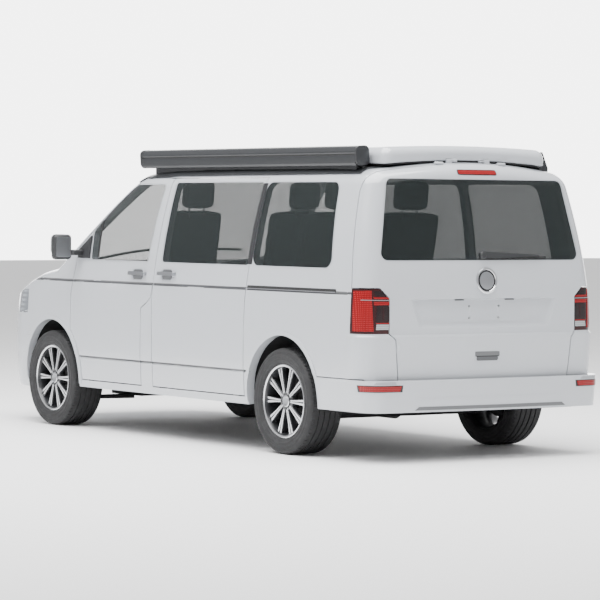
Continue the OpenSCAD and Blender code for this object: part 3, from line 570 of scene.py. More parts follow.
@dataclass(frozen=True)
class VanForm:
    """The body as a rounded box that is bent to its side view, cross-section and plan."""

    half_l: float = 2.452
    half_w: float = 0.952
    bottom: float = 0.230
    top: float = 1.900
    roof: float = 1.890
    waist: float = 1.055
    ledge: float = 0.510
    squeeze: float = 0.700
    tail: float = -2.377
    round_low: tuple[float, float, float] = (0.130, 0.110, 0.036)
    round_high: tuple[float, float, float] = (0.210, 0.110, 0.092)

    def top_z(self, x: np.ndarray) -> np.ndarray:
        """Height of the body on the centreline."""
        line = np.array([
            (-self.half_l, self.roof - 0.006), (-1.5, self.roof - 0.002), (-0.6, self.roof),
            (0.1, self.roof - 0.006), (0.45, self.roof - 0.020), (0.69, self.roof - 0.048),
            (1.64, 1.165), (1.9, 1.128), (self.half_l - 0.3, 1.068), (self.half_l - 0.12, 1.0),
            (self.half_l, 0.94),
        ])
        reach = np.where(x < 1.0, 0.090, 0.026)
        return sum(np.interp(x + k * reach, line[:, 0], line[:, 1]) for k in (-1, -0.5, 0, 0.5, 1)) / 5

    def half_width(self, z: np.ndarray) -> np.ndarray:
        """Half width of the body at a height."""
        up = z - self.waist
        low = self.half_w - 0.005 - 0.34 * (self.ledge - z) ** 2
        door = self.half_w - 0.07 * (z - 0.64) ** 2
        house = self.half_w - 0.0125 - 0.105 * up - 0.162 * np.maximum(up - 0.135, 0) ** 2
        return np.where(z < self.ledge, low, np.where(z < self.waist, door, house))

    def plan(self, x: np.ndarray) -> np.ndarray:
        """How far the plan narrows towards both ends."""
        nose = 1 - 0.055 * ((x - 1.2) / 1.2) ** 2
        tail = 1 - 0.02 * ((x + 1.6) / 0.8) ** 2
        return np.where(x > 1.2, nose, np.where(x < -1.6, tail, 1.0))

    def bent(self, p: np.ndarray, swell: float = 0.0) -> np.ndarray:
        """Bend points of the rounded box to the body's form.

        Args:
            p: Points, one a row.
            swell: How far the sides stand out.

        Returns:
            The points in place.
        """
        x, y, z = p.T
        across = y / self.half_w
        rise = (z - self.squeeze) / (self.top - self.squeeze)
        squeeze = (self.top_z(x) - self.squeeze) / (self.top - self.squeeze)
        crown = 0.040 * ease((1.0 - x) / 0.5) + 0.026
        level = np.where(z < self.squeeze, z, self.squeeze + (z - self.squeeze) * squeeze)
        level = level - crown * across**2 * ease(rise)
        tail, nose = ease((-1.65 - x) / 0.6), ease((x - 1.65) / 0.7)
        back = level - 1.11
        tail_lean = 0.158 * (back + np.sqrt(back * back + 0.09**2)) / 2
        nose_lean = 0.3 * np.maximum(level - 0.6, 0) ** 2 + 0.4 * np.maximum(0.43 - level, 0) ** 2
        sweep = 0.15 * ease((x - 0.15) / 0.7) + 0.07 * ease((x - 1.8) / 0.6)
        return np.stack([
            x - sweep * across**2 + tail * (0.045 * across**2 + tail_lean) - nose * nose_lean,
            across * (self.half_width(level) * self.plan(x) + swell),
            level,
        ], axis=1)

    def placed(self, p: np.ndarray, depth: float, tail: float, swell: float) -> np.ndarray:
        """Round the box's edges, draw it in by a depth and bend it."""
        low = np.array([tail, -self.half_w, self.bottom])
        high = np.array([self.half_l, self.half_w, self.top])
        p = rounded_box(p, low, high, self.round_low, self.round_high)
        shrink = (high - low - 2 * depth) / (high - low)
        return self.bent(low + depth + (p - low) * shrink, swell)


def rounded_box(
    p: np.ndarray, low: np.ndarray, high: np.ndarray, r_low: Sequence[float], r_high: Sequence[float]
) -> np.ndarray:
    """Move points of a box's faces onto the same box with rounded edges."""
    r = np.where(p < (low + high) / 2, np.array(r_low), np.array(r_high))
    core = np.clip(p, low + r, high - r)
    away = (p - core) / r
    return core + r * away / np.linalg.norm(away, axis=1, keepdims=True)


FORM = VanForm()


class View(Enum):
    """The ways in which an outline is laid on a skin."""

    LEFT = "left"
    RIGHT = "right"
    REAR = "rear"
    FRONT = "front"
    TOP = "top"
    CORNER_LEFT = "corner_left"
    CORNER_RIGHT = "corner_right"


CORNER = (-2.10, 0.70)


class Skin:
    """A finely meshed surface that panels are laid on."""

    def __init__(
        self, lines: Sequence[tuple[Sequence[float], Sequence[float], int]],
        place: Callable[[np.ndarray], np.ndarray],
    ) -> None:
        """Mesh the six sides of a box and put each point in its place.

        Args:
            lines: For each axis the coordinates that matter, the shares of the mesh's lines up to
                each of them, and the number of lines.
            place: Moves an array of points of the box onto the surface.
        """
        bm = bmesh.new()
        for axis in range(3):
            u, v = (axis + 1) % 3, (axis + 2) % 3
            for end in (0, 1):
                made = bmesh.ops.create_grid(
                    bm, x_segments=lines[u][2], y_segments=lines[v][2], size=0.5,
                )["verts"]
                for vert in made:
                    here = [0.0, 0.0, 0.0]
                    here[u], here[v], here[axis] = vert.co.x + 0.5, vert.co.y + 0.5, float(end)
                    vert.co = here
        unit = np.array([v.co for v in bm.verts])
        box = np.stack([np.interp(unit[:, i], lines[i][1], lines[i][0]) for i in range(3)], axis=1)
        for vert, co in zip(bm.verts, place(box)):
            vert.co = co
        bmesh.ops.remove_doubles(bm, verts=bm.verts[:], dist=1e-5)
        bmesh.ops.recalc_face_normals(bm, faces=bm.faces[:])
        bm.normal_update()
        self.points = [v.co.copy() for v in bm.verts]
        self.normals = [v.normal.copy() for v in bm.verts]
        self.faces = [[v.index for v in f.verts] for f in bm.faces]
        self.tree = BVHTree.FromPolygons(self.points, self.faces)
        bm.free()

    def _smooth(self, where: Vector, index: int) -> Vector:
        """The interpolated normal at a point of one face."""
        corners = self.faces[index]
        shares = interpolate.poly_3d_calc([self.points[i] for i in corners], where)
        return sum((self.normals[i] * s for i, s in zip(corners, shares)), Vector()).normalized()

    def nearest(self, point: Vector) -> tuple[Vector, Vector, float]:
        """The nearest point of the skin, its normal and how far it is."""
        where, _, index, distance = self.tree.find_nearest(point)
        return where, self._smooth(where, index), distance

    def hit(self, view: View, u: float, v: float) -> tuple[Vector, Vector]:
        """Where a point of an outline lies on the skin.

        Args:
            view: The way in which it is laid on.
            u: X in a side or top view, Y in a rear or front view, the angle around a rear corner.
            v: Z, or Y in the top view.

        Returns:
            The point and the skin's normal there.
        """
        side = -1 if view in (View.RIGHT, View.CORNER_RIGHT) else 1
        if view in (View.LEFT, View.RIGHT):
            start, way = Vector((u, 3 * side, v)), Vector((0, -side, 0))
        elif view is View.REAR:
            start, way = Vector((-4, u, v)), Vector((1, 0, 0))
        elif view is View.FRONT:
            start, way = Vector((4, u, v)), Vector((-1, 0, 0))
        elif view is View.TOP:
            start, way = Vector((u, v, 4)), Vector((0, 0, -1))
        else:
            angle = math.radians(u)
            start = Vector((CORNER[0], side * CORNER[1], v))
            way = Vector((-math.cos(angle), side * math.sin(angle), 0))
        where, _, index, _ = self.tree.ray_cast(start, way)
        if where is None:
            where, _, index, _ = self.tree.find_nearest(start + way * 3)
        return where, self._smooth(where, index)


BODY_LINES = (
    (
        (FORM.tail, FORM.tail + 0.14, -1.6, 0.2, 1.3, 2.23, FORM.half_l),
        (0, 0.16, 0.28, 0.42, 0.68, 0.84, 1), 190,
    ),
    ((-0.952, -0.83, 0.83, 0.952), (0, 0.2, 0.8, 1), 90),
    ((0.23, 0.28, 1.78, 1.9), (0, 0.06, 0.8, 1), 110),
)


def body_skin(depth: float = 0.0, tail: float = FORM.tail, swell: float = 0.0) -> Skin:
    """The body's skin, drawn in by a depth or out at its tail."""
    first = (tail, tail + 0.14, *BODY_LINES[0][0][2:])
    lines = ((first, *BODY_LINES[0][1:]), *BODY_LINES[1:])
    return Skin(lines, lambda p: FORM.placed(p, depth, tail, swell))


@dataclass(frozen=True)
class PopRoofForm:
    """The pop-up roof's shell, a rounded box that sits on the curve of the roof."""

    tail: float = -2.160
    nose: float = 0.650
    half_w: float = 0.650
    top: float = 1.990
    clear: float = 0.006

    def placed(self, p: np.ndarray) -> np.ndarray:
        """Put points of the box in their place."""
        low, high = np.array([self.tail, -self.half_w, 0]), np.array([self.nose, self.half_w, 0.1])
        p = rounded_box(p, low, high, (0.07, 0.06, 0.008), (0.22, 0.06, 0.055))
        x, y = p[:, 0], p[:, 1]
        taper = 1 - 0.08 * ease((x + 0.2) / 0.85)
        under = FORM.bent(np.stack([x, y * taper, np.full_like(x, FORM.top)], axis=1))[:, 2]
        base = under + self.clear
        top = self.top - 0.038 * ease((x + 0.5) / 1.1) - 0.018 * (y / self.half_w) ** 2
        return np.stack([x, y * taper, base + (top - base) * p[:, 2] / 0.1], axis=1)


POP = PopRoofForm()
POP_LINES = (
    ((POP.tail, POP.tail + 0.08, 0.42, POP.nose), (0, 0.2, 0.75, 1), 120),
    ((-0.65, -0.58, 0.58, 0.65), (0, 0.2, 0.8, 1), 70),
    ((0, 0.01, 0.04, 0.1), (0, 0.2, 0.4, 1), 24),
)


# ---- Panels laid on the skin -------------------------------------------------------------------


def grid_planes() -> list[tuple[Vector, float]]:
    """The planes that panels are cut along, close together where the skin turns."""
    planes: list[tuple[Vector, float]] = []
    steps = {
        (1, 0, 0): [(-2.46, -2.14, 0.018), (-2.1, 0.6, 0.18), (0.6, 1.9, 0.05), (1.9, 2.46, 0.022)],
        (0, 1, 0): [(-0.955, -0.76, 0.016), (-0.76, 0.76, 0.095), (0.76, 0.955, 0.016)],
        (0, 0, 1): [(0.23, 0.32, 0.02), (0.32, 1.0, 0.085), (1.0, 1.7, 0.05), (1.7, 1.905, 0.013)],
    }
    coarse = 1.0
    for axis, bands in steps.items():
        for start, end, step in bands:
            count = max(1, round((end - start) / (step * coarse)))
            planes += [(Vector(axis), start + (end - start) * i / count) for i in range(count)]
    return planes


@dataclass(frozen=True)
class Groove:
    """A pressed line that runs along the sides at one height."""

    z: float
    half: float
    depth: float

    def planes(self) -> list[tuple[Vector, float]]:
        """The planes along its four edges."""
        return [(Vector((0, 0, 1)), self.z + k * self.half) for k in (-1.0, -0.35, 0.35, 1.0)]

    def sink(self, z: float) -> float:
        """How deep the line is at a height."""
        away = abs(z - self.z) / self.half
        return self.depth * max(0.0, min(1.0, (1.0 - away) / 0.65))


WAIST_LINE = Groove(FORM.waist, 0.0100, 0.0085)
SILL_LINE = Groove(0.515, 0.0100, 0.0075)
PLANES = grid_planes()


@dataclass(frozen=True)
class Ledge:
    """The step across the tail, under the lamps, below which the panels stand out."""

    z: float = 0.800
    foot: float = 0.540
    out: float = 0.014
    edge: float = 0.016

    def planes(self) -> list[tuple[Vector, float]]:
        """The planes along its edges and down its slope."""
        levels = [self.z, self.z - self.edge * 0.5, self.z - self.edge, self.z - 0.02]
        levels += [self.foot + (self.z - self.foot) * i / 5 for i in range(5)]
        return [(Vector((0, 0, 1)), z) for z in levels]

    def sink(self, where: Vector) -> float:
        """How deep the skin lies at a point; less than nought where it stands out."""
        if where.z >= self.z or where.z <= self.foot:
            return 0.0
        rise = min(1.0, (self.z - where.z) / self.edge)
        fade = (where.z - self.foot) / (self.z - self.foot)
        around = max(0.0, min(1.0, (-2.16 - where.x) / 0.12))
        return -self.out * rise * fade**0.7 * around


@dataclass(frozen=True)
class Recess:
    """The recess of the number plate: a flat whose sides slope out to the skin."""

    top: float = 1.020
    foot: float = 0.838
    half_top: float = 0.590
    half_foot: float = 0.520
    flat_x: float = -2.344
    slope: float = 0.028
    overhang: float = 0.004
    foremost: float = -2.300

    def edges(self) -> list[tuple[Vector, float, float]]:
        """Each edge as a normal that points into the recess, its offset and its slope's width."""
        lean = Vector((0, self.top - self.foot, self.half_top - self.half_foot)).normalized()
        made = [(Vector((0, 0, -1)), -self.top, self.overhang), (Vector((0, 0, 1)), self.foot, self.slope)]
        for side in (1, -1):
            way = Vector((0, -side * lean.y, lean.z))
            corner = Vector((0, side * self.half_foot, self.foot))
            made.append((way, way.dot(corner), self.slope * 1.6))
        return made

    def planes(self) -> list[tuple[Vector, float]]:
        """The planes along both ends of each slope and through its middle."""
        return [(way, at + width * k) for way, at, width in self.edges() for k in (0.0, 0.5, 1.0)]

    def sink(self, where: Vector) -> float:
        """How deep the skin lies at a point."""
        if where.x > self.foremost:
            return 0.0
        inside = min((way.dot(where) - at) / width for way, at, width in self.edges())
        deep = max(0.0, self.flat_x - where.x)
        share = max(0.0, min(1.0, inside))
        return deep * share * share * (3 - 2 * share)


LEDGE = Ledge()
RECESS = Recess()


@dataclass(frozen=True)
class Panel:
    """One node of the frame whose outer face is laid on a skin."""

    # Outer faces sunk deeper than this on average take the second finish, which is painted shade on panels
    # with pressed lines.
    PAINTED_SHADE_DEPTH = 0.003

    node: str
    body: str
    finish: Finish
    slot: str
    grooves: tuple[Groove, ...] = ()
    ledges: tuple["Ledge | Recess", ...] = ()
    reach: float = 0.012

    def build(self, skin: Skin) -> bpy.types.Object:
        """Cut the node's faces fine, lay its outer faces on the skin and shade them by it.

        Args:
            skin: The surface that its outer faces lie on.

        Returns:
            The finished piece, which stands for the node.
        """
        bm = bmesh.new()
        bm.from_mesh(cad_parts[self.node].data)
        bmesh.ops.remove_doubles(bm, verts=bm.verts[:], dist=1e-5)
        low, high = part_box(self.node)
        lines = PLANES + [p for g in (*self.grooves, *self.ledges) for p in g.planes()]
        for axis, at in lines:
            slanted = axis.y * axis.z != 0 or axis.z < 0
            if slanted or low.dot(axis) < at < high.dot(axis):
                geom = bm.verts[:] + bm.edges[:] + bm.faces[:]
                bmesh.ops.bisect_plane(bm, geom=geom, dist=2e-5, plane_co=axis * at, plane_no=axis)
        bm.normal_update()
        near = {v: skin.nearest(v.co) for v in bm.verts}
        outer = []
        for face in bm.faces:
            hits = [near[v] for v in face.verts]
            facing = min(face.normal.dot(hit[1]) for hit in hits)
            if facing > 0.6 and max(hit[2] for hit in hits) < self.reach:
                outer.append(face)
        sunk = {}
        for vert in {v for f in outer for v in f.verts}:
            where, normal, _ = near[vert]
            depth = sum(g.sink(where.z) for g in self.grooves) if abs(normal.y) > 0.75 else 0.0
            depth += sum(ledge.sink(where) for ledge in self.ledges)
            vert.co = where - normal * depth
            sunk[vert] = depth
        lit = {f for f in outer if max(sunk[v] for v in f.verts) - min(sunk[v] for v in f.verts) < 1e-4}
        # Faces sunk past the depth take finish 1: painted shade in the pressed lines, or the panel's own
        # finish on panels without them.
        for face in outer:
            face.material_index = int(sum(sunk[v] for v in face.verts) / len(face.verts) > self.PAINTED_SHADE_DEPTH)
        mesh = bpy.data.meshes.new(self.node + "_panel")
        normals = [[near[v][1] if f in lit else None for v in f.verts] for f in bm.faces]
        bm.to_mesh(mesh)
        bm.free()
        mesh.polygons.foreach_set("use_smooth", [True] * len(mesh.polygons))
        mesh.set_sharp_from_angle(angle=math.radians(30))
        custom = [Vector(c.vector) for c in mesh.corner_normals]
        for i, normal in enumerate(n for face in normals for n in face):
            if normal is not None:
                custom[i] = normal
        mesh.normals_split_custom_set(custom)
        # Panels with pressed lines get painted shade as their second finish.
        shade_in_lines = PAINTED_SHADE_WHITE if self.grooves else self.finish
        finishes = [self.finish, shade_in_lines]
        return seat(mesh, self.node + "_panel", finishes, self.body, [self.node])


def patch(
    shape: Shape, skin: Skin, view: View, outline: Sequence[Point2], low: float, high: float,
    finish: Finish, ring: float = 0.0, pitch: tuple[float, float] = (0.05, 0.05),
) -> None:
    """Lay a thin plate with an outline on a skin.

    Args:
        shape: The piece that it is added to.
        skin: The surface that it follows.
        view: The way in which its outline is laid on.
        outline: Its corners in order.
        low: How far its underside stands off the skin.
        high: How far its face stands off the skin.
        finish: What it is made of.
        ring: Width of the band that is kept along its edge, or 0 for all of it.
        pitch: How far apart it is cut, along both ways of the outline.
    """
    bm = bmesh.new()
    face = bm.faces.new([bm.verts.new((u, v, 0)) for u, v in outline])
    if ring:
        bmesh.ops.inset_region(bm, faces=[face], thickness=ring, use_even_offset=True, use_boundary=True)
        bmesh.ops.delete(bm, geom=[face], context="FACES")
    for axis in range(2):
        way = Vector((1, 0, 0)) if axis == 0 else Vector((0, 1, 0))
        values = [p[axis] for p in outline]
        count = int((max(values) - min(values)) / pitch[axis])
        for i in range(1, count + 1):
            geom = bm.verts[:] + bm.edges[:] + bm.faces[:]
            at = min(values) + i * (max(values) - min(values)) / (count + 1)
            bmesh.ops.bisect_plane(bm, geom=geom, dist=1e-6, plane_co=way * at, plane_no=way)
    hits = {v: skin.hit(view, v.co.x, v.co.y) for v in bm.verts}
    for vert, (where, normal) in hits.items():
        vert.co = where + normal * high
    grown = bmesh.ops.extrude_face_region(bm, geom=bm.faces[:])["geom"]
    for vert in [g for g in grown if isinstance(g, bmesh.types.BMVert)]:
        where, normal, _ = skin.nearest(vert.co)
        vert.co = where + normal * low
    bmesh.ops.recalc_face_normals(bm, faces=bm.faces[:])
    number = shape.slot_of(finish)
    for f in bm.faces:
        f.material_index = number
    mesh = bpy.data.meshes.new("part")
    bm.to_mesh(mesh)
    bm.free()
    shape.bm.from_mesh(mesh)
    bpy.data.meshes.remove(mesh)


def rectangle(u0: float, v0: float, u1: float, v1: float, radius: float = 0.0) -> list[Point2]:
    """The outline of a rectangle, its corners rounded by a radius."""
    corners = [(u0, v0), (u1, v0), (u1, v1), (u0, v1)]
    return eased(corners, radius) if radius else corners


FRONT_WINDOW = [
    (1.010, 1.208), (0.238, 1.208), (0.165, 1.738), (0.560, 1.738), (0.640, 1.688), (1.012, 1.408),
]
SLIDING_WINDOW = [(0.050, 1.208), (0.028, 1.750), (-1.048, 1.750), (-1.015, 1.208)]
QUARTER_WINDOW = [(-1.064, 1.208), (-1.096, 1.750), (-1.905, 1.750), (-1.968, 1.208)]
REAR_WINDOW = [(-0.792, 1.262), (0.792, 1.262), (0.694, 1.772), (-0.694, 1.772)]
SIDES = ((1, "left", View.LEFT), (-1, "right", View.RIGHT))
AXLES = {"front": 1.544, "rear": -1.456}


class PaintedBody:
    """The painted panels, with the lines that are pressed into their sides and painted shade in those lines.
    """

    LINES = (WAIST_LINE, SILL_LINE)
    PANELS = (
        Panel("left_side_panel", "root", WHITE, "paint", LINES, (LEDGE,)),
        Panel("right_side_panel", "root", WHITE, "paint", LINES, (LEDGE,)),
        Panel("sliding_door", "root", WHITE, "paint", LINES),
        Panel("front_door_left", "door_left", WHITE, "paint", LINES),
        Panel("front_door_right", "door_right", WHITE, "paint", LINES),
        Panel("front_wings", "root", WHITE, "paint", (WAIST_LINE,)),
        Panel("roof_frame", "root", WHITE, "paint"),
        Panel("front_bumper", "root", WHITE, "paint"),
        Panel("bonnet", "bonnet", WHITE, "paint"),
        Panel("cowl_panel", "root", TRIM_BLACK, "black_plastic"),
        Panel("tailgate", "tailgate", WHITE, "paint", (), (LEDGE, RECESS), 0.016),
        Panel("headlights", "root", LAMP_GLASS, "headlight"),
        Panel("tail_lamps", "root", DARK_RED_LENS, "tail_lamp"),
    )

    def build(self, skin: Skin) -> None:
        """Lay every panel on the body's skin."""
        for panel in self.PANELS:
            panel.build(skin)
        bumper_skin = body_skin(0.0, -FORM.half_l, 0.004)
        Panel("rear_bumper", "root", WHITE, "paint").build(bumper_skin)
        self.bumper_trim(bumper_skin)
        Panel("pop_roof", "pop_roof", WHITE, "paint").build(Skin(POP_LINES, POP.placed))
        Panel("roof_rails", "root", ANTHRACITE, "anodised_case").build(body_skin(-0.009))

    def bumper_trim(self, skin: Skin) -> None:
        """The reflectors with a painted shadow above each, the lower edge and the step of the rear bumper.
        """
        reflectors = Shape()
        for view in (View.CORNER_LEFT, View.CORNER_RIGHT):
            strip = [(2.0, 0.452), (48.0, 0.452), (51.0, 0.484), (0.0, 0.484)]
            patch(reflectors, skin, view, strip, 0.0, 0.004, RED_LENS, pitch=(3.0, 0.02))
            strip = [(-1.0, 0.447), (51.0, 0.447), (53.0, 0.489), (-2.0, 0.489)]
            patch(reflectors, skin, view, strip, 0.0, 0.0015, GAP_BLACK, pitch=(3.0, 0.02))
            # A grey strip above each reflector: a painted shadow.
            shadow = [(6.0, 0.4935), (33.0, 0.4935), (30.0, 0.511), (8.0, 0.511)]
            patch(reflectors, skin, view, shadow, 0.0, 0.0012, PAINTED_SHADOW_GREY, pitch=(3.0, 0.02))
        reflectors.piece("rear_reflectors", "root", "tail_lamp")
        steps = Shape()
        fold = rectangle(-0.60, 0.405, 0.60, 0.410)
        patch(steps, skin, View.REAR, fold, -0.001, 0.0015, WHITE, pitch=(0.05, 0.01))
        recess = [(-0.60, 0.330), (0.60, 0.330), (0.57, 0.352), (-0.57, 0.352)]
        patch(steps, skin, View.REAR, recess, -0.001, 0.002, TRIM_GREY, pitch=(0.05, 0.01))
        steps.piece("rear_bumper_trim", "root", "black_plastic")


class Glazing:
    """The panes, with their printed black borders and rubber seals."""

    SIDE_PANES = ((SLIDING_WINDOW, 0.03), (QUARTER_WINDOW, 0.07))

    def build(self, skin: Skin, glass: Skin) -> None:
        """Lay the panes on the glass skin and their borders just over it.

        Args:
            skin: The body's skin.
            glass: The same skin drawn in by the depth of the glass.
        """
        Panel("side_windows", "root", SMOKED, "glass").build(glass)
        Panel("rear_window", "tailgate", SMOKED, "glass").build(glass)
        Panel("windscreen", "root", TINTED, "glass").build(glass)
        for _, name, _ in SIDES:
            Panel("door_glass_" + name, "door_" + name, TINTED, "glass").build(glass)
        borders = Shape()
        for _, _, view in SIDES:
            for outline, radius in self.SIDE_PANES:
                patch(
                    borders, glass, view, eased(outline, radius), 0.0002, 0.0007, FRIT, 0.034,
                    (0.12, 0.05),
                )
            between = [(-1.014, 1.214), (-1.046, 1.745), (-1.098, 1.745), (-1.066, 1.214)]
            patch(borders, skin, view, between, 0.0, 0.0012, GLOSS_BLACK, pitch=(0.03, 0.05))
            for outline, radius in self.SIDE_PANES:
                gap = self.outside(eased(outline, radius), 0.009)
                patch(borders, skin, view, gap, 0.0, 0.0012, GAP_BLACK, 0.010, (0.12, 0.05))
        borders.piece("side_window_borders", "root", "black_plastic")
        for _, name, view in SIDES:
            seals = Shape()
            outline = eased(FRONT_WINDOW, 0.03)
            patch(
                seals, skin, view, self.outside(outline, 0.008), 0.0, 0.0015, GAP_BLACK, 0.012,
                (0.08, 0.05),
            )
            patch(seals, glass, view, outline, 0.0002, 0.0007, FRIT, 0.014, (0.08, 0.05))
            quarter = [(0.905, 1.225), (0.925, 1.225), (0.925, 1.475), (0.905, 1.490)]
            patch(seals, glass, view, quarter, 0.0002, 0.002, GAP_BLACK, pitch=(0.05, 0.05))
            seals.piece("door_window_seals_" + name, "door_" + name, "black_plastic")
        rear = Shape()
        outline = eased(REAR_WINDOW, 0.06)
        patch(rear, glass, View.REAR, outline, 0.0002, 0.0007, FRIT, 0.045, (0.05, 0.05))
        patch(
            rear, skin, View.REAR, self.outside(outline, 0.007), 0.0, 0.0012, GAP_BLACK, 0.008,
            (0.05, 0.05),
        )
        rear.piece("rear_window_border", "tailgate", "black_plastic")

    @staticmethod
    def outside(outline: Sequence[Point2], by: float) -> list[Point2]:
        """Grow a convex outline from its middle by about a width."""
        mid = sum((Vector(p) for p in outline), Vector((0, 0))) / len(outline)
        return [tuple(Vector(p) + (Vector(p) - mid).normalized() * by) for p in outline]


class TailLamps:
    """The lenses in front of each lamp's housing, which turn the corner of the body."""

    def build(self, skin: Skin) -> None:
        """Lay every lens on the corner, first the housing's edge and then what stands on it."""
        shape = Shape()
        for view in (View.CORNER_LEFT, View.CORNER_RIGHT):
            def lens(outline: Sequence[Point2], high: float, finish: Finish, ring: float = 0.0) -> None:
                """Lay one lens; its outline is in degrees around the corner and in metres up."""
                patch(shape, skin, view, outline, 0.0, high, finish, ring, (3.0, 0.04))
            lens([(33, 0.822), (62, 0.822), (62, 1.072), (36, 1.075)], 0.0030, RED_LENS)
            lens([(44, 0.835), (47, 0.835), (49, 1.070), (46, 1.070)], 0.0042, RED_LENS)
            lens([(9.6, 0.985), (33, 0.985), (33, 1.008), (9.6, 1.006)], 0.0030, RED_LENS)
            lens([(9.6, 1.022), (33, 1.024), (34, 1.036), (12.0, 1.034)], 0.0030, RED_LENS)
            lens([(14.5, 1.040), (31, 1.040), (32.5, 1.072), (21, 1.072)], 0.0026, SMOKED_LENS)
            lens([(9.6, 1.012), (50, 1.014), (50, 1.019), (9.6, 1.017)], 0.0044, CHROME)
            lens([(9.8, 0.885), (30, 0.885), (29, 0.978), (9.8, 0.978)], 0.0026, SMOKED_LENS)
            lens([(18.5, 0.890), (20.5, 0.890), (20.5, 0.975), (18.5, 0.975)], 0.0036, DARK_RED_LENS)
            lens([(10.2, 0.832), (30.0, 0.832), (29.0, 0.866), (10.2, 0.866)], 0.0030, CLEAR_LENS)
            lens([(10.0, 0.869), (29.5, 0.869), (29.5, 0.875), (10.0, 0.875)], 0.0036, RED_LENS)
        shape.piece("tail_lamp_lenses", "root", "tail_lamp")


class TailgateTrim:
    """Badge disc, handle, high brake lamp, plate clips and wiper of the tailgate."""

    badge_z: float = 1.133
    handle_z: float = 0.659
    lamp_z: float = 1.818
    wiper_z: float = 1.292

    def build(self, skin: Skin, glass: Skin) -> None:
        """Build every trim piece of the tailgate."""
        where, normal = skin.hit(View.REAR, 0.0, self.badge_z)
        badge = Shape()
        ring = [
            (0.0, -0.002), (0.083, -0.002), (0.083, 0.006), (0.078, 0.009), (0.071, 0.009),
            (0.068, 0.006),
        ]
        badge.turned(ring, where, normal, CHROME, 64)
        badge.turned(
            [(0.0, -0.001), (0.069, -0.001), (0.069, 0.005), (0.05, 0.0065), (0.0, 0.007)], where, normal,
            GLOSS_BLACK, 64,
        )
        badge.turned(
            [(0.0, 0.0), (0.056, 0.0), (0.056, 0.0072), (0.05, 0.0085), (0.0, 0.009)], where, normal,
            SATIN, 64,
        )
        badge.piece("badge_disc", "tailgate", "rim")
        handle = Shape()
        up = -LEDGE.sink(skin.hit(View.REAR, 0.0, self.handle_z)[0])
        # The second layer, a dark copy of the white paint, is painted shade in the handle's cup.
        for low_z, high_z, radius, half, rise, finish in (
            (-0.038, 0.032, 0.024, 0.102, 0.0012, WHITE), (-0.032, -0.002, 0.018, 0.086, 0.0018, PAINTED_SHADE_WHITE),
            (-0.004, 0.026, 0.006, 0.096, 0.0050, TRIM_GREY),
            (-0.006, -0.001, 0.002, 0.092, 0.0056, GAP_BLACK),
        ):
            outline = rectangle(-half, self.handle_z + low_z, half, self.handle_z + high_z, radius)
            patch(handle, skin, View.REAR, outline, 0.0, up + rise, finish, pitch=(0.03, 0.02))
        handle.piece("tailgate_handle", "tailgate", "black_plastic")
        lamp = Shape()
        patch(
            lamp, skin, View.REAR,
            rectangle(-0.150, self.lamp_z - 0.012, 0.150, self.lamp_z + 0.012, 0.01), 0, 0.004, RED_LENS,
            pitch=(0.03, 0.02),
        )
        patch(
            lamp, skin, View.REAR,
            rectangle(-0.156, self.lamp_z - 0.017, 0.156, self.lamp_z + 0.017, 0.012), 0, 0.002,
            GAP_BLACK, pitch=(0.03, 0.02),
        )
        lamp.piece("high_brake_lamp", "tailgate", "tail_lamp")
        self.plate()
        self.wiper(glass)

    def plate(self) -> None:
        """The clips in the plate's four holes and the two lamps above them."""
        shape = Shape()
        back = RECESS.flat_x
        for y in (-0.1175, 0.1175):
            for z in (0.8965, 0.9715):
                shape.turned(
                    [(0, -0.001), (0.0065, -0.001), (0.0065, 0.001), (0.004, 0.002), (0, 0.002)],
                    (back, y, z), (-1, 0, 0), CAST, 20,
                )
        for y in (-0.20, 0.20):
            shape.block(
                (back - 0.013, y - 0.035, 1.008), (back - 0.001, y + 0.035, 1.0155), 0.002, TRIM_GREY,
            )
        shape.piece("plate_lamps", "tailgate", "black_plastic")

    def wiper(self, glass: Skin) -> None:
        """A capped spindle, a tapered arm and its blade, resting to the right."""
        shape = Shape()
        where, normal = glass.hit(View.REAR, 0.02, self.wiper_z)
        shape.turned(
            [(0, 0), (0.026, 0), (0.026, 0.016), (0.018, 0.026), (0, 0.028)], where, normal, TRIM_BLACK,
            32,
        )
        arm = [(0.045, 1.276), (0.045, 1.306), (0.0, 1.312), (-0.44, 1.292), (-0.44, 1.284), (0.0, 1.272)]
        patch(shape, glass, View.REAR, arm, 0.008, 0.020, TRIM_BLACK, pitch=(0.05, 0.02))
        patch(
            shape, glass, View.REAR, rectangle(-0.500, 1.274, -0.04, 1.283), 0.001, 0.011, GAP_BLACK,
            pitch=(0.05, 0.02),
        )
        shape.piece("wiper_arm", "tailgate", "black_plastic", ["rear_wiper"])


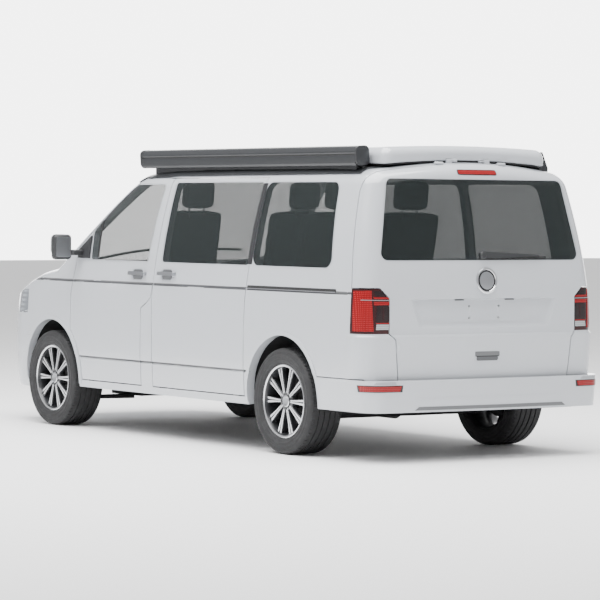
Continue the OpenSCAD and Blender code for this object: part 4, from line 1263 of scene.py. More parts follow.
class SideTrim:
    """Door handles, the sliding door's rail, the gap of the fuel flap and arch lips."""

    ARCH_Z = 0.363
    LIPS = ((0.4055, 0.432, 0.0045), (0.4035, 0.409, 0.0055))

    def build(self, skin: Skin) -> None:
        """Build the trims of both sides."""
        for _, name, view in SIDES:
            self.handle(skin, view, 0.226, 0.451, 1.121, "door_handle_" + name, "door_" + name)
            self.arch_lips(skin, view, "arch_lips_" + name)
        self.handle(skin, View.LEFT, -0.154, 0.066, 1.127, "sliding_door_handle", "root")
        rail = Shape()
        patch(
            rail, skin, View.LEFT, rectangle(-2.041, 1.058, -1.037, 1.078, 0.008), 0, 0.0012, GAP_BLACK,
            pitch=(0.1, 0.02),
        )
        patch(
            rail, skin, View.LEFT, rectangle(-2.035, 1.0555, -1.040, 1.0605), 0, 0.0035, CHROME,
            pitch=(0.1, 0.02),
        )
        rail.piece("sliding_door_rail", "root", "black_plastic")
        flap = Shape()
        patch(
            flap, skin, View.RIGHT, rectangle(-2.09, 0.82, -1.91, 1.01, 0.03), 0, 0.0006, GAP_BLACK,
            0.004, (0.04, 0.04),
        )
        flap.piece("fuel_flap_gap", "root", "black_plastic")

    def handle(self, skin: Skin, view: View, x0: float, x1: float, z: float, name: str, body: str) -> None:
        """A bar over a shallow cup.

        Args:
            skin: The body's skin.
            view: The side that it is on.
            x0: Its rear end.
            x1: Its front end.
            z: Its height.
            name: The piece's name.
            body: The door that it is on.
        """
        shape = Shape()
        mid = (x0 + x1) / 2
        cup = rectangle(mid - 0.055, z - 0.038, mid + 0.075, z + 0.030, 0.03)
        patch(shape, skin, view, cup, 0, 0.0012, TRIM_GREY, pitch=(0.03, 0.03))
        patch(
            shape, skin, view, rectangle(mid - 0.060, z - 0.043, mid + 0.080, z + 0.034, 0.034), 0, 0.003,
            WHITE, 0.006, (0.03, 0.03),
        )
        bar = rectangle(x0 + 0.01, z - 0.012, x1 - 0.01, z + 0.014, 0.012)
        patch(shape, skin, view, bar, 0.016, 0.031, SATIN, pitch=(0.03, 0.01))
        for end in (x0 + 0.012, x1 - 0.045):
            patch(
                shape, skin, view, rectangle(end, z - 0.011, end + 0.033, z + 0.013, 0.006), 0, 0.026,
                SATIN, pitch=(0.03, 0.03),
            )
        shape.piece(name, body, "black_plastic")

    def arch_lips(self, skin: Skin, view: View, name: str) -> None:
        """The rolled lip along the edge of each wheel arch."""
        shape = Shape()
        for x in AXLES.values():
            for inner, outer, high in self.LIPS:
                arc = [math.radians(a) for a in range(-6, 187, 4)]
                ring = [(x + inner * math.cos(a), self.ARCH_Z + inner * math.sin(a)) for a in arc]
                ring += [(x + outer * math.cos(a), self.ARCH_Z + outer * math.sin(a)) for a in reversed(arc)]
                patch(shape, skin, view, ring, -0.002, high, WHITE, pitch=(3.0, 3.0))
        shape.piece(name, "root", "paint", smooth=50)


# ---- Wheels ------------------------------------------------------------------------------------


@dataclass(frozen=True)
class Wheel:
    """One road wheel: a tyre with tread, and a ten-spoke rim with machined faces."""

    name: str
    x: float
    side: int
    tyre_r: float = 0.343
    rim_r: float = 0.228
    half_w: float = 0.1275
    track_y: float = 0.819
    spokes: int = 10
    blocks: int = 70

    @property
    def centre(self) -> Vector:
        """The middle of the wheel."""
        return Vector((self.x, self.side * self.track_y, self.tyre_r))

    @property
    def turn(self) -> Matrix:
        """Puts a drawing of the wheel's face, with depth outboard, in place."""
        out = Vector((0, self.side, 0))
        right = Vector((0, 0, 1)).cross(out) * -1
        basis = Matrix((right, Vector((0, 0, 1)), out)).transposed()
        return Matrix.Translation(self.centre) @ basis.to_4x4()

    def build(self) -> None:
        """Build the tyre and the rim on the wheel's own body."""
        body = "wheel_" + self.name
        self.tyre(body)
        self.rim(body)

    def tyre(self, body: str) -> None:
        """Carcass with ribs on its sidewalls, four grooves and blocks on its shoulders."""
        shape = Shape()
        r, rim, w = self.tyre_r, self.rim_r, self.half_w
        wall = [
            (rim + 0.001, w - 0.030), (rim + 0.006, w - 0.022), (rim + 0.012, w - 0.014),
            (rim + 0.018, w - 0.012),
            (rim + 0.020, w - 0.008), (rim + 0.030, w - 0.0035), (rim + 0.038, w - 0.0015), (rim + 0.040, w),
            (rim + 0.046, w), (rim + 0.048, w - 0.0015), (rim + 0.066, w - 0.001), (rim + 0.068, w),
            (rim + 0.071, w), (rim + 0.073, w - 0.002), (r - 0.030, w - 0.004), (r - 0.028, w - 0.0025),
            (r - 0.022, w - 0.0035), (r - 0.0125, w - 0.0085),
        ]
        grooves = [(-0.062, 0.0045), (-0.021, 0.005), (0.021, 0.005), (0.062, 0.0045)]
        tread = []
        for middle, half in reversed(grooves):
            tread += [(r - 0.0006, middle + half), (r - 0.008, middle + half - 0.001)]
            tread += [(r - 0.008, middle - half + 0.001), (r - 0.0006, middle - half)]
        shoulder = [(r - 0.0085, w - 0.013), (r - 0.0085, 0.092), (r - 0.0012, 0.089)]
        half = wall + shoulder
        other = [(a, -b) for a, b in reversed(half)]
        inside = [
            (rim + 0.001, -w + 0.045), (rim + 0.02, -w + 0.045), (rim + 0.02, w - 0.045),
            (rim + 0.001, w - 0.045), half[0],
        ]
        shape.turned(half + tread + other + inside, self.centre, (0, self.side, 0), RUBBER, 96)
        self.shoulder_blocks(shape)
        shape.piece(
            "tyre_" + self.name + "_rubber", body, "tyre", ["tyre_" + self.name], smooth=28, merge=1e-6,
        )

    def shoulder_blocks(self, shape: Shape) -> None:
        """Blocks around both shoulders, parted by narrow cuts."""
        r, w = self.tyre_r, self.half_w
        pitch = 2 * math.pi / self.blocks
        half = r * pitch * 0.43
        for edge in (1, -1):
            outline = [
                (r - 0.010, 0.0885), (r - 0.0006, 0.0885), (r - 0.0012, w - 0.030),
                (r - 0.0045, w - 0.018), (r - 0.0145, w - 0.0085), (r - 0.016, w - 0.010),
            ]
            base = Matrix(((0, 0, 1, 0), (1, 0, 0, 0), (0, edge, 0, 0), (0, 0, 0, 1)))
            for i in range(self.blocks):
                spin = Matrix.Rotation(i * pitch + (pitch / 2 if edge > 0 else 0), 4, "Z")
                shape.prism(outline, -half, half, self.turn @ spin @ base, 0.0, RUBBER)

    def rim(self, body: str) -> None:
        """Barrel, lip, hub, spokes, cap and bolts."""
        shape = Shape()
        rim, face = self.rim_r, 0.0985
        out = (0, self.side, 0)
        w = self.half_w - 0.024
        barrel = [
            (rim + 0.010, w + 0.006), (rim + 0.012, w + 0.0005), (rim - 0.001, w - 0.004),
            (rim - 0.002, w - 0.020), (rim - 0.010, w - 0.030),
            (rim - 0.012, -w + 0.020), (rim - 0.002, -w + 0.004), (rim + 0.010, -w - 0.003),
            (rim + 0.008, -w - 0.008),
            (rim - 0.008, -w + 0.002), (rim - 0.018, -w + 0.026), (rim - 0.018, w - 0.036),
            (rim - 0.010, w - 0.004), (rim - 0.006, w + 0.004),
            (rim + 0.004, w + 0.0085), (rim + 0.010, w + 0.006),
        ]
        shape.turned(barrel, self.centre, out, RIM_DARK, 96)
        lip = [
            (rim - 0.005, w + 0.0045), (rim + 0.004, w + 0.0093), (rim + 0.0105, w + 0.0065),
            (rim + 0.004, w + 0.004), (rim - 0.005, w + 0.0045),
        ]
        shape.turned(lip, self.centre, out, TURNED_FACE, 96)
        hub = [
            (0, 0.046), (0.074, 0.046), (0.078, 0.060), (0.070, face - 0.014), (0.052, face - 0.012),
            (0.048, face - 0.016), (0, face - 0.016),
        ]
        shape.turned(hub, self.centre, out, RIM_DARK, 64)
        cap = [
            (0, face - 0.020), (0.034, face - 0.018), (0.034, face - 0.006), (0.030, face - 0.002),
            (0.027, face - 0.003), (0, face),
        ]
        shape.turned(cap, self.centre, out, SATIN, 48)
        ring = [
            (0.0335, face - 0.014), (0.0385, face - 0.014), (0.0385, face - 0.006),
            (0.0335, face - 0.004), (0.0335, face - 0.014),
        ]
        shape.turned(ring, self.centre, out, TURNED_FACE, 48)
        for i in range(5):
            angle = 2 * math.pi * (i + 0.5) / 5
            where = self.turn @ Vector((0.054 * math.cos(angle), 0.054 * math.sin(angle), face - 0.018))
            shape.turned(
                [(0, 0), (0.0085, 0), (0.0085, 0.007), (0.006, 0.009), (0, 0.009)], where, out, SATIN, 6,
            )
        for i in range(self.spokes):
            self.spoke(shape, math.pi * (2 * i + 1) / self.spokes, face)
        disc = [(0.05, 0.004), (0.154, 0.004), (0.154, 0.012), (0.05, 0.012), (0.05, 0.004)]
        shape.piece("rim_" + self.name + "_alloy", body, "rim", ["rim_" + self.name], smooth=30, merge=1e-6)
        still = Shape()
        still.turned([(r, d + 0.002) for r, d in disc], self.centre, out, DISC, 72)
        still.turned([(0, 0.0), (0.062, 0.0), (0.062, 0.040), (0, 0.040)], self.centre, out, CAST, 48)
        carrier = "knuckle_" + ("left" if self.side > 0 else "right") if self.x > 0 else "root"
        still.piece("brake_disc_" + self.name, carrier, "cast_metal")

    def spoke(self, shape: Shape, angle: float, face: float) -> None:
        """One spoke: a dark body with a machined face that widens towards the rim.

        Args:
            shape: The rim.
            angle: Which way the spoke points, from upright.
            face: How far outboard the faces of the spokes lie.
        """
        spin = self.turn @ Matrix.Rotation(angle, 4, "Z")
        reach = self.rim_r - 0.004
        body = [
            (-0.011, 0.045), (-0.0135, 0.12), (-0.0215, reach - 0.012), (-0.030, reach), (0.030, reach),
            (0.0215, reach - 0.012), (0.0135, 0.12), (0.011, 0.045),
        ]
        shape.prism(body, face - 0.040, face - 0.012, spin, 0.0, RIM_DARK)
        for side in (1, -1):
            rib = [
                (0.0015, 0.056), (0.0035, 0.14), (0.0065, reach - 0.002), (0.0285, reach - 0.002),
                (0.0200, reach - 0.014), (0.0118, 0.12), (0.0085, 0.056),
            ]
            rib = [(side * u, v) for u, v in (rib if side > 0 else rib[::-1])]
            shape.prism(rib, face - 0.0135, face - 0.0045, spin, 0.0, TURNED_FACE)


# ---- Roof ----------------------------------------------------------------------------------------


@dataclass(frozen=True)
class Awning:
    """The side awning's case, leaning outwards on the left edge of the roof."""

    x0: float = -2.035
    x1: float = 0.585
    low: Point2 = (0.672, 1.858)
    depth: float = 0.106
    height: float = 0.128
    lean: float = 5.0

    @property
    def turn(self) -> Matrix:
        """Puts a drawing of the case's section in place, with depth along X."""
        a = math.radians(self.lean)
        out, up = Vector((0, math.cos(a), -math.sin(a))), Vector((0, math.sin(a), math.cos(a)))
        basis = Matrix((out, up, Vector((1, 0, 0)))).transposed()
        return Matrix.Translation((0, *self.low)) @ basis.to_4x4()

    def build(self) -> None:
        """Case, lead rail, fabric roll cover, end caps and brackets."""
        shape = Shape()
        d, h = self.depth, self.height
        inset = 0.002
        lower = eased(
            [
                (inset, inset), (d - 0.006, inset), (d - inset, 0.020), (d - inset, h * 0.60),
                (inset, h * 0.60),
            ],
            0.022, 6,
        )
        shape.prism(lower, self.x0 + 0.016, self.x1 - 0.030, self.turn, 0.0, ANTHRACITE)
        upper = eased(
            [
                (inset, h * 0.61), (d - 0.004, h * 0.61), (d - inset, h * 0.72), (d - 0.022, h - inset),
                (inset, h - inset),
            ],
            0.024, 6,
        )
        shape.prism(upper, self.x0 + 0.016, self.x1 - 0.030, self.turn, 0.0, ANTHRACITE)
        shape.prism(
            [(inset + 0.004, h * 0.5), (d - 0.007, h * 0.5), (d - 0.007, h * 0.7), (inset + 0.004, h * 0.7)],
            self.x0 + 0.017, self.x1 - 0.031, self.turn, 0.0, GAP_BLACK,
        )
        cap = eased([(0.0, 0.0), (d, 0.0), (d, h), (0.0, h)], 0.040, 8)
        shape.prism(cap, self.x0, self.x0 + 0.0155, self.turn, 0.005, TRIM_BLACK)
        shape.prism(cap, self.x1 - 0.0295, self.x1, self.turn, 0.008, TRIM_BLACK)
        shape.piece("awning_case", "root", "anodised_case", ["awning"], smooth=40)
        feet = Shape()
        for x in (self.x0 + 0.10, (self.x0 + self.x1) / 2, self.x1 - 0.25):
            feet.block((x, 0.650, 1.846), (x + 0.09, 0.700, 1.8585), 0.003, TRIM_BLACK)
        feet.piece("awning_brackets", "root", "black_plastic")


class RoofSeals:
    """The seal under the pop-up roof's edge, and the covers of its hinges."""

    def build(self) -> None:
        """Build the seal as a band that follows the shell's foot, and two covers."""
        shape = Shape()
        outline = [(-2.150, -0.632), (0.55, -0.572), (0.55, 0.572), (-2.150, 0.632)]
        base = eased(outline, 0.09, 8)
        points = spaced(base, 0.06)
        skin = np.array([(x, y, FORM.top) for x, y in points])
        levels = FORM.bent(skin)[:, 2]
        loops = []
        for inward, rise in ((0.0, 0.0005), (0.0, 0.013), (0.05, 0.013), (0.05, 0.0005)):
            mid = Vector((-0.8, 0))
            ring = []
            for (x, y), z in zip(points, levels):
                away = (Vector((x, y)) - mid).normalized() * inward
                ring.append(shape.bm.verts.new((x - away.x, y - away.y, z + rise)))
            loops.append(shape.loop(ring))
        for i in range(4):
            bmesh.ops.bridge_loops(shape.bm, edges=loops[i] + loops[(i + 1) % 4])
        shape.dress(shape.bm.faces, GAP_BLACK)
        shape.piece("pop_roof_seal", "pop_roof", "black_plastic", smooth=50)
        covers = Shape()
        for y in (-0.150, 0.150):
            covers.block((-2.1690, y - 0.0210, 1.866), (-2.1400, y + 0.0210, 1.9045), 0.002, WHITE)
        covers.piece("pop_roof_hinge_covers", "root", "paint")


@dataclass(frozen=True)
class RoofCloth:
    """The pleated side cloth of the pop-up roof, folded down around the roof's opening."""

    x0: float = -2.005
    x1: float = 0.365
    half_w: float = 0.525
    low: float = 1.848
    high: float = 1.900
    folds: int = 7
    swing: float = 0.010

    END_REACH = 1.13
    SIDE_REACH = 0.47

    def build(self) -> None:
        """Build one pleated band, folded."""
        shape = Shape()
        base = eased(
            [
                (self.x0, -self.half_w), (self.x1, -self.half_w), (self.x1, self.half_w),
                (self.x0, self.half_w),
            ],
            0.05, 5,
        )
        mid = Vector(((self.x0 + self.x1) / 2, 0))
        points = spaced(base, 0.05)
        rows = 2 * self.folds + 1
        loops = []
        for k in range(rows):
            inward = self.swing if k % 2 else -self.swing
            z = self.low + (self.high - self.low) * k / (rows - 1)
            ring = []
            for p in points:
                ripple = 0.002 * math.sin(p.x * 21 + p.y * 17 + k)
                along = math.copysign(1, p.x - mid.x) if abs(p.x - mid.x) > self.END_REACH else 0
                across = math.copysign(1, p.y) if abs(p.y) > self.SIDE_REACH else 0
                away = Vector((along, across))
                q = p - away.normalized() * (inward + ripple) if away.length else p
                ring.append(shape.bm.verts.new((q.x, q.y, z)))
            loops.append(shape.loop(ring))
        for first, second in zip(loops, loops[1:]):
            bmesh.ops.bridge_loops(shape.bm, edges=first + second)
        shape.dress(shape.bm.faces, CANVAS)
        area = sum(f.calc_area() for f in shape.bm.faces)
        around = sum((points[i] - points[i - 1]).length for i in range(len(points)))
        cloth = shape.piece("roof_cloth", None, "canvas", ["roof_canvas"], smooth=60)
        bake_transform(cloth)
        round(area / around, 3)


# ---- Nose, mirrors, cabin -------------------------------------------------------------------------


class Nose:
    """Grille bars, lamps, intake and wipers of the front."""

    def build(self, skin: Skin, glass: Skin) -> None:
        """Build the front's trim."""
        bars = Shape()
        patch(
            bars, skin, View.FRONT, rectangle(-0.52, 0.765, 0.52, 0.902, 0.01), -0.012, -0.006,
            GLOSS_BLACK, pitch=(0.05, 0.03),
        )
        for z in (0.782, 0.842, 0.890):
            patch(
                bars, skin, View.FRONT, rectangle(-0.51, z - 0.0045, 0.51, z + 0.0045, 0.003), -0.006,
                0.002, CHROME, pitch=(0.05, 0.03),
            )
        for z in (0.802, 0.822, 0.862):
            patch(
                bars, skin, View.FRONT, rectangle(-0.51, z - 0.004, 0.51, z + 0.004), -0.006, -0.001,
                TRIM_BLACK, pitch=(0.05, 0.03),
            )
        bars.piece("grille_bars", "root", "black_plastic", ["grille"])
        where, normal = skin.hit(View.FRONT, 0.0, 0.834)
        disc = Shape()
        disc.turned(
            [(0, 0.0), (0.062, 0.0), (0.062, 0.004), (0.056, 0.006), (0, 0.0065)], where, normal, CHROME,
            48,
        )
        disc.piece("front_badge_disc", "root", "rim")
        lamps = Shape()
        for s in (1, -1):
            def lens(
                outline: Sequence[Point2], low: float, high: float, finish: Finish, ring: float = 0.0,
            ) -> None:
                """Lay one part of a headlamp on the nose."""
                points = [(s * u, v) for u, v in (outline if s > 0 else outline[::-1])]
                patch(lamps, skin, View.FRONT, points, low, high, finish, ring, (0.03, 0.03))
            lens(
                [(0.54, 0.785), (0.70, 0.800), (0.86, 0.815), (0.87, 0.925), (0.80, 0.940), (0.54, 0.890)],
                0.0, 0.0012, GLOSS_BLACK, 0.012,
            )
            lens(
                eased([(0.57, 0.805), (0.665, 0.815), (0.665, 0.900), (0.57, 0.882)], 0.03), 0.0, 0.003,
                CLEAR_LENS,
            )
            lens(
                eased([(0.70, 0.820), (0.80, 0.832), (0.80, 0.918), (0.70, 0.905)], 0.03), 0.0, 0.003,
                CLEAR_LENS,
            )
            lens([(0.56, 0.792), (0.84, 0.818), (0.84, 0.823), (0.56, 0.797)], 0.0, 0.004, CHROME)
            lens(rectangle(0.56, 0.50, 0.74, 0.56, 0.02), 0.0, 0.0015, TRIM_BLACK)
            lens(rectangle(0.60, 0.512, 0.70, 0.548, 0.017), 0.0, 0.004, CLEAR_LENS)
        lamps.piece("headlamp_optics", "root", "headlight")
        intake = Shape()
        mouth = eased([(-0.555, 0.338), (0.555, 0.338), (0.495, 0.462), (-0.495, 0.462)], 0.02)
        patch(intake, skin, View.FRONT, mouth, -0.050, -0.040, GAP_BLACK, pitch=(0.05, 0.03))
        for z in (0.365, 0.395, 0.425):
            half = 0.53 - (z - 0.338) * 0.4
            slat = rectangle(-half, z - 0.005, half, z + 0.005)
            patch(intake, skin, View.FRONT, slat, -0.04, -0.012, TRIM_BLACK, pitch=(0.05, 0.03))
        patch(
            intake, skin, View.FRONT, rectangle(-0.26, 0.545, 0.26, 0.655, 0.01), 0.0, 0.004, TRIM_GREY,
            pitch=(0.05, 0.03),
        )
        intake.piece("bumper_intake", "root", "black_plastic")
        screen = Shape()
        outline = [
            (0.700, -0.575), (1.350, -0.725), (1.515, -0.450), (1.560, 0.0), (1.515, 0.450),
            (1.350, 0.725), (0.700, 0.575), (0.735, 0.30), (0.748, 0.0), (0.735, -0.30),
        ]
        patch(screen, glass, View.TOP, eased(outline, 0.05, 4), 0.0002, 0.0008, FRIT, 0.035, (0.06, 0.06))
        for y0, y1 in ((-0.62, -0.02), (0.06, 0.62)):
            blade = [(1.500 - abs(y0) * 0.14, y0), (1.512 - abs(y0) * 0.14, y0), (1.546, y1), (1.532, y1)]
            patch(screen, glass, View.TOP, blade, 0.004, 0.018, GAP_BLACK, pitch=(0.05, 0.05))
        screen.piece("windscreen_border", "root", "black_plastic")


@dataclass(frozen=True)
class Mirror:
    """A door mirror: black foot and frame, white cap, plain glass."""

    side: int
    name: str

    def build(self, skin: Skin) -> None:
        """Build the mirror on its door."""
        shape = Shape()
        s = self.side
        view = View.LEFT if s > 0 else View.RIGHT
        foot = [(1.024, 1.216), (1.185, 1.216), (1.176, 1.275), (1.024, 1.376)]
        patch(shape, skin, view, foot, 0.0006, 0.012, TRIM_BLACK, pitch=(0.04, 0.04))
        near, far = sorted((s * 0.925, s * 1.015))
        shape.block((1.110, near, 1.236), (1.172, far, 1.276), 0.012, TRIM_BLACK)
        y0, y1 = sorted((s * 1.000, s * 1.146))
        shape.block((1.140, y0, 1.204), (1.205, y1, 1.384), 0.026, TRIM_BLACK)
        shape.block((1.160, y0 + 0.004, 1.236), (1.233, y1 - 0.004, 1.386), 0.034, WHITE)
        frame_outline = eased(
            [(y0 + 0.014, 1.222), (y1 - 0.014, 1.222), (y1 - 0.014, 1.368), (y0 + 0.014, 1.368)], 0.022,
        )
        turn = Matrix(((0, 0, 1, 0), (1, 0, 0, 0), (0, 1, 0, 0), (0, 0, 0, 1)))
        shape.prism(frame_outline, 1.1385, 1.1415, turn, 0.0, SATIN)
        shape.piece(
            "door_mirror_" + self.name, "door_" + self.name, "black_plastic", ["mirror_" + self.name],
        )


class Pad:
    """A padded piece: a crowned block with pulled-in edges and sewn channels."""

    FILL = 0.85

    def __init__(
        self, low: Sequence[float], high: Sequence[float], crown: float = 0.018, lean: float = 0.0,
    ) -> None:
        """Keep the pad's box, how far it crowns and how it leans back.

        Args:
            low: Its lowest corner.
            high: Its highest corner.
            crown: How far its faces swell.
            lean: Metres that its top stands behind its foot.
        """
        self.low, self.high, self.crown, self.lean = Vector(low), Vector(high), crown, lean

    def build(
        self, name: str, slot: str, replaces: Sequence[str] = (), channels: int = 3, axis: int = 2,
    ) -> None:
        """Build the pad.

        Args:
            name: The piece's name.
            slot: The record's material slot.
            replaces: The nodes that it stands for.
            channels: Sewn channels across it.
            axis: The axis along which the channels follow each other.
        """
        shape = Shape()
        size = self.high - self.low
        mid = (self.low + self.high) / 2
        inner = size - Vector((2, 2, 2)) * self.crown
        bmesh.ops.create_cube(
            shape.bm, size=1, matrix=Matrix.Translation(mid) @ Matrix.Diagonal((*inner, 1)),
        )
        bmesh.ops.subdivide_edges(shape.bm, edges=shape.bm.edges[:], cuts=11, use_grid_fill=True)
        for vert in shape.bm.verts:
            local = [(vert.co[i] - mid[i]) / (inner[i] / 2) for i in range(3)]
            for i in range(3):
                others = [local[j] for j in range(3) if j != i]
                full = (1 - others[0] ** 4) * (1 - others[1] ** 4)
                along = ((local[axis] + 1) * (channels + 1) / 2) % 1
                sewn = 1 - 0.55 * math.exp(-((along / 0.10) ** 2))
                if abs(local[i]) > 0.99:
                    vert.co[i] += math.copysign(self.crown * full * (sewn if i != axis else 1), local[i])
            rise = (vert.co.z - self.low.z) / max(size.z, 1e-6)
            vert.co.x -= self.lean * rise
        bmesh.ops.bevel(
            shape.bm, geom=[e for e in shape.bm.edges if e.calc_face_angle(0) > 0.9],
            offset=self.crown * 0.8, affect="EDGES", segments=3, profile=0.5, material=-1,
        )
        shape.dress(shape.bm.faces, SEAT_CLOTH)
        pad = shape.piece(name, "root", slot, replaces, smooth=60)


class Cabin:
    """Seats, steering wheel and what shows behind the glass."""

    def build(self) -> None:
        """Build the cabin's pieces."""
        for s, name in ((1, "left"), (-1, "right")):
            y0, y1 = sorted((s * 0.215, s * 0.685))
            replaces = ["front_seats"] if s > 0 else []
            Pad((0.505, y0, 0.915), (1.045, y1, 1.035)).build(
                "front_seat_cushion_" + name, "seat_fabric", replaces, 3, 1,
            )
            Pad((0.475, y0, 1.000), (0.600, y1, 1.560), lean=0.125).build(
                "front_seat_back_" + name, "seat_fabric", (), 3, 2,
            )
            Pad((0.300, y0 + 0.115, 1.575), (0.400, y1 - 0.115, 1.770), 0.014, 0.02).build(
                "front_headrest_" + name, "seat_fabric", (), 1, 2,
            )
            base = Shape()
            base.block((0.600, y0 + 0.03, 0.3405), (0.955, y1 - 0.03, 0.905), 0.02, TRIM_BLACK)
            base.block((0.520, y0 + 0.01, 0.87), (1.030, y1 - 0.01, 0.925), 0.015, TRIM_BLACK)
            for y in (-0.06, 0.06):
                base.turned(
                    [(0, 0), (0.007, 0), (0.007, 0.10), (0, 0.10)], (0.363, (y0 + y1) / 2 + y, 1.51),
                    (0, 0, 1), CHROME, 16,
                )
            base.piece("front_seat_base_" + name, "root", "seat_fabric")
        Pad((-1.175, -0.450, 0.935), (-0.525, 0.645, 1.055)).build(
            "bench_cushion", "seat_fabric", ["rear_bench"], 3, 1,
        )
        for name, y0, y1 in (("right", -0.450, 0.085), ("left", 0.100, 0.645)):
            Pad((-1.185, y0, 1.010), (-1.070, y1, 1.560), lean=0.125).build(
                "bench_back_" + name, "seat_fabric", (), 4, 2,
            )
            mid = (y0 + y1) / 2
            Pad((-1.345, mid - 0.13, 1.575), (-1.250, mid + 0.13, 1.770), 0.014, 0.02).build(
                "bench_headrest_" + name, "seat_fabric", (), 1, 2,
            )
        base = Shape()
        base.block((-1.12, -0.44, 0.3405), (-0.60, 0.635, 0.925), 0.02, TRIM_BLACK)
        for y in (-0.24, -0.12, 0.31, 0.43):
            base.turned(
                [(0, 0), (0.007, 0), (0.007, 0.10), (0, 0.10)], (-1.295, y, 1.51), (0, 0, 1), CHROME, 16,
            )
        base.piece("bench_base", "root", "seat_fabric")
        self.steering()

    def steering(self) -> None:
        """Rim, spokes, hub and column of the steering wheel."""
        shape = Shape()
        tilt = math.radians(118)
        centre, way = Vector((1.080, -0.400, 1.010)), Vector((math.sin(tilt), 0, math.cos(tilt)))
        ring_r, grip_r = 0.180, 0.0145
        around = np.linspace(0, 2 * math.pi, 13)
        section = [(ring_r + grip_r * math.cos(a), grip_r * math.sin(a)) for a in around]
        shape.turned(section, centre, way, BOLSTER, 64)
        shape.turned(
            [
                (0, -0.030), (0.050, -0.026), (0.066, -0.012), (0.066, 0.012), (0.030, 0.020),
                (0.030, 0.16), (0, 0.16),
            ],
            centre, way, TRIM_BLACK, 48,
        )
        basis = Matrix((Vector((0, 1, 0)), way.cross(Vector((0, 1, 0))), way)).transposed().to_4x4()
        for angle in (90, 210, 330):
            turn = Matrix.Translation(centre) @ basis @ Matrix.Rotation(math.radians(angle), 4, "Z")
            shape.prism(
                [(0.045, -0.016), (0.170, -0.010), (0.170, 0.010), (0.045, 0.016)], -0.008, 0.008, turn,
                0.003, SATIN,
            )
        shape.piece("steering_wheel_rim", "root", "black_plastic", ["steering_wheel"])


KEPT_NODES = {
    "floor_pan": UNDERBODY, "powertrain": CAST, "front_axle": UNDERBODY, "rear_axle": UNDERBODY,
    "knuckle_left": CAST, "knuckle_right": CAST, "dashboard": TRIM_BLACK, "kitchen_unit": LAMINATE,
}


def dress_kept_nodes() -> None:
    """Give the nodes of the frame whose shape is right their finishes."""
    for name, finish in KEPT_NODES.items():
        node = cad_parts[name]
        material = finish.build()
        if not node.material_slots:
            node.data.materials.append(material)
        for slot in node.material_slots:
            slot.material = material


# ---- Stage -----------------------------------------------------------------------------------------


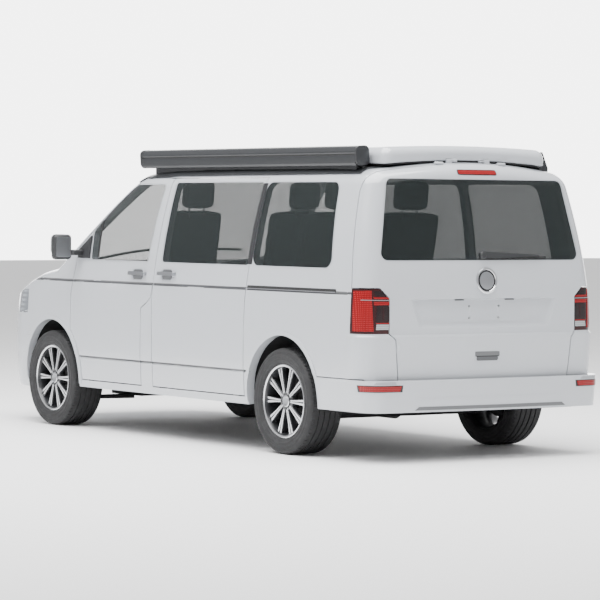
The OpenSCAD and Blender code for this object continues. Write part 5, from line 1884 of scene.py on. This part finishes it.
@dataclass(frozen=True)
class Stage:
    """A pale floor, soft light and the camera behind the van's left rear corner."""

    eye: tuple[float, float, float] = (-17.409, 11.666, 1.581)
    target: tuple[float, float, float] = (-0.271, 0.0, 0.948)
    roll: float = 0.447
    lens: float = 179.9

    def build(self) -> None:
        """Set up floor, world, lights and camera."""
        mesh = bpy.data.meshes.new("floor")
        bm = bmesh.new()
        bmesh.ops.create_grid(bm, x_segments=1, y_segments=1, size=60)
        bm.to_mesh(mesh)
        bm.free()
        floor = bpy.data.objects.new("floor", mesh)
        bpy.context.scene.collection.objects.link(floor)
        mesh.materials.append(Finish("floor_pale", (0.93, 0.93, 0.93), 0.8, spots=0.0, dusty=0.0).build())
        world = bpy.data.worlds.new("soft_daylight")
        bpy.context.scene.world = world
        world.use_nodes = True
        nodes, links = world.node_tree.nodes, world.node_tree.links
        background = nodes["Background"]
        background.inputs[1].default_value = 4.0
        where = nodes.new("ShaderNodeTexCoord")
        parts = nodes.new("ShaderNodeSeparateXYZ")
        ramp = nodes.new("ShaderNodeValToRGB")
        links.new(where.outputs["Generated"], parts.inputs[0])
        links.new(parts.outputs[2], ramp.inputs[0])
        stops = ramp.color_ramp.elements
        stops[0].color = (0.15, 0.15, 0.155, 1)
        stops[1].color = (0.22, 0.22, 0.22, 1)
        wall = nodes.new("ShaderNodeVectorMath")
        wall.operation = "DOT_PRODUCT"
        wall.inputs[1].default_value = (0.83, -0.56, 0.0)
        links.new(where.outputs["Generated"], wall.inputs[0])
        edge = nodes.new("ShaderNodeMapRange")
        edge.inputs["From Min"].default_value = 0.86
        edge.inputs["From Max"].default_value = 0.95
        links.new(wall.outputs["Value"], edge.inputs["Value"])
        mix = nodes.new("ShaderNodeMix")
        mix.data_type = "RGBA"
        mix.inputs[7].default_value = (1.4, 1.4, 1.4, 1)
        links.new(edge.outputs["Result"], mix.inputs[0])
        links.new(ramp.outputs[0], mix.inputs[6])
        links.new(mix.outputs[2], background.inputs[0])
        self.light("overhead", (-1, 2, 9), (0, 0, 0.8), 10.0, 3000)
        self.light("left_sky", (-2, 11, 9), (0, 0, 1.0), 6.0, 260)
        self.light("rear_sky", (-11, -3, 9), (0, 0, 1.0), 5.0, 160)
        data = bpy.data.cameras.new("camera")
        data.lens = self.lens
        data.clip_end = 200
        camera = bpy.data.objects.new("camera", data)
        bpy.context.scene.collection.objects.link(camera)
        way = Vector(self.target) - Vector(self.eye)
        turn = way.to_track_quat("-Z", "Y").to_matrix() @ Matrix.Rotation(math.radians(self.roll), 3, "Z")
        camera.matrix_world = Matrix.Translation(self.eye) @ turn.to_4x4()
        bpy.context.scene.camera = camera

    def light(
        self, name: str, eye: Sequence[float], target: Sequence[float], size: float, power: float,
    ) -> None:
        """Add one large soft lamp that points at a target."""
        data = bpy.data.lights.new(name, "AREA")
        data.size = size
        data.energy = power
        lamp = bpy.data.objects.new(name, data)
        bpy.context.scene.collection.objects.link(lamp)
        way = Vector(target) - Vector(eye)
        lamp.matrix_world = Matrix.Translation(eye) @ way.to_track_quat("-Z", "Y").to_matrix().to_4x4()


def main() -> None:
    """Build every sub-assembly in order."""
    logging.basicConfig(level=logging.INFO, format="%(name)s: %(message)s")
    Stage().build()
    skin, glass = body_skin(), body_skin(0.003)
    PaintedBody().build(skin)
    Glazing().build(skin, glass)
    TailLamps().build(skin)
    TailgateTrim().build(skin, glass)
    SideTrim().build(skin)
    Nose().build(skin, glass)
    for side, name, _ in SIDES:
        Mirror(side, name).build(skin)
        for end, x in AXLES.items():
            Wheel(end + "_" + name, x, side).build()
    Awning().build()
    RoofSeals().build()
    RoofCloth().build()
    Cabin().build()
    dress_kept_nodes()


if __name__ == "__main__":
    main()
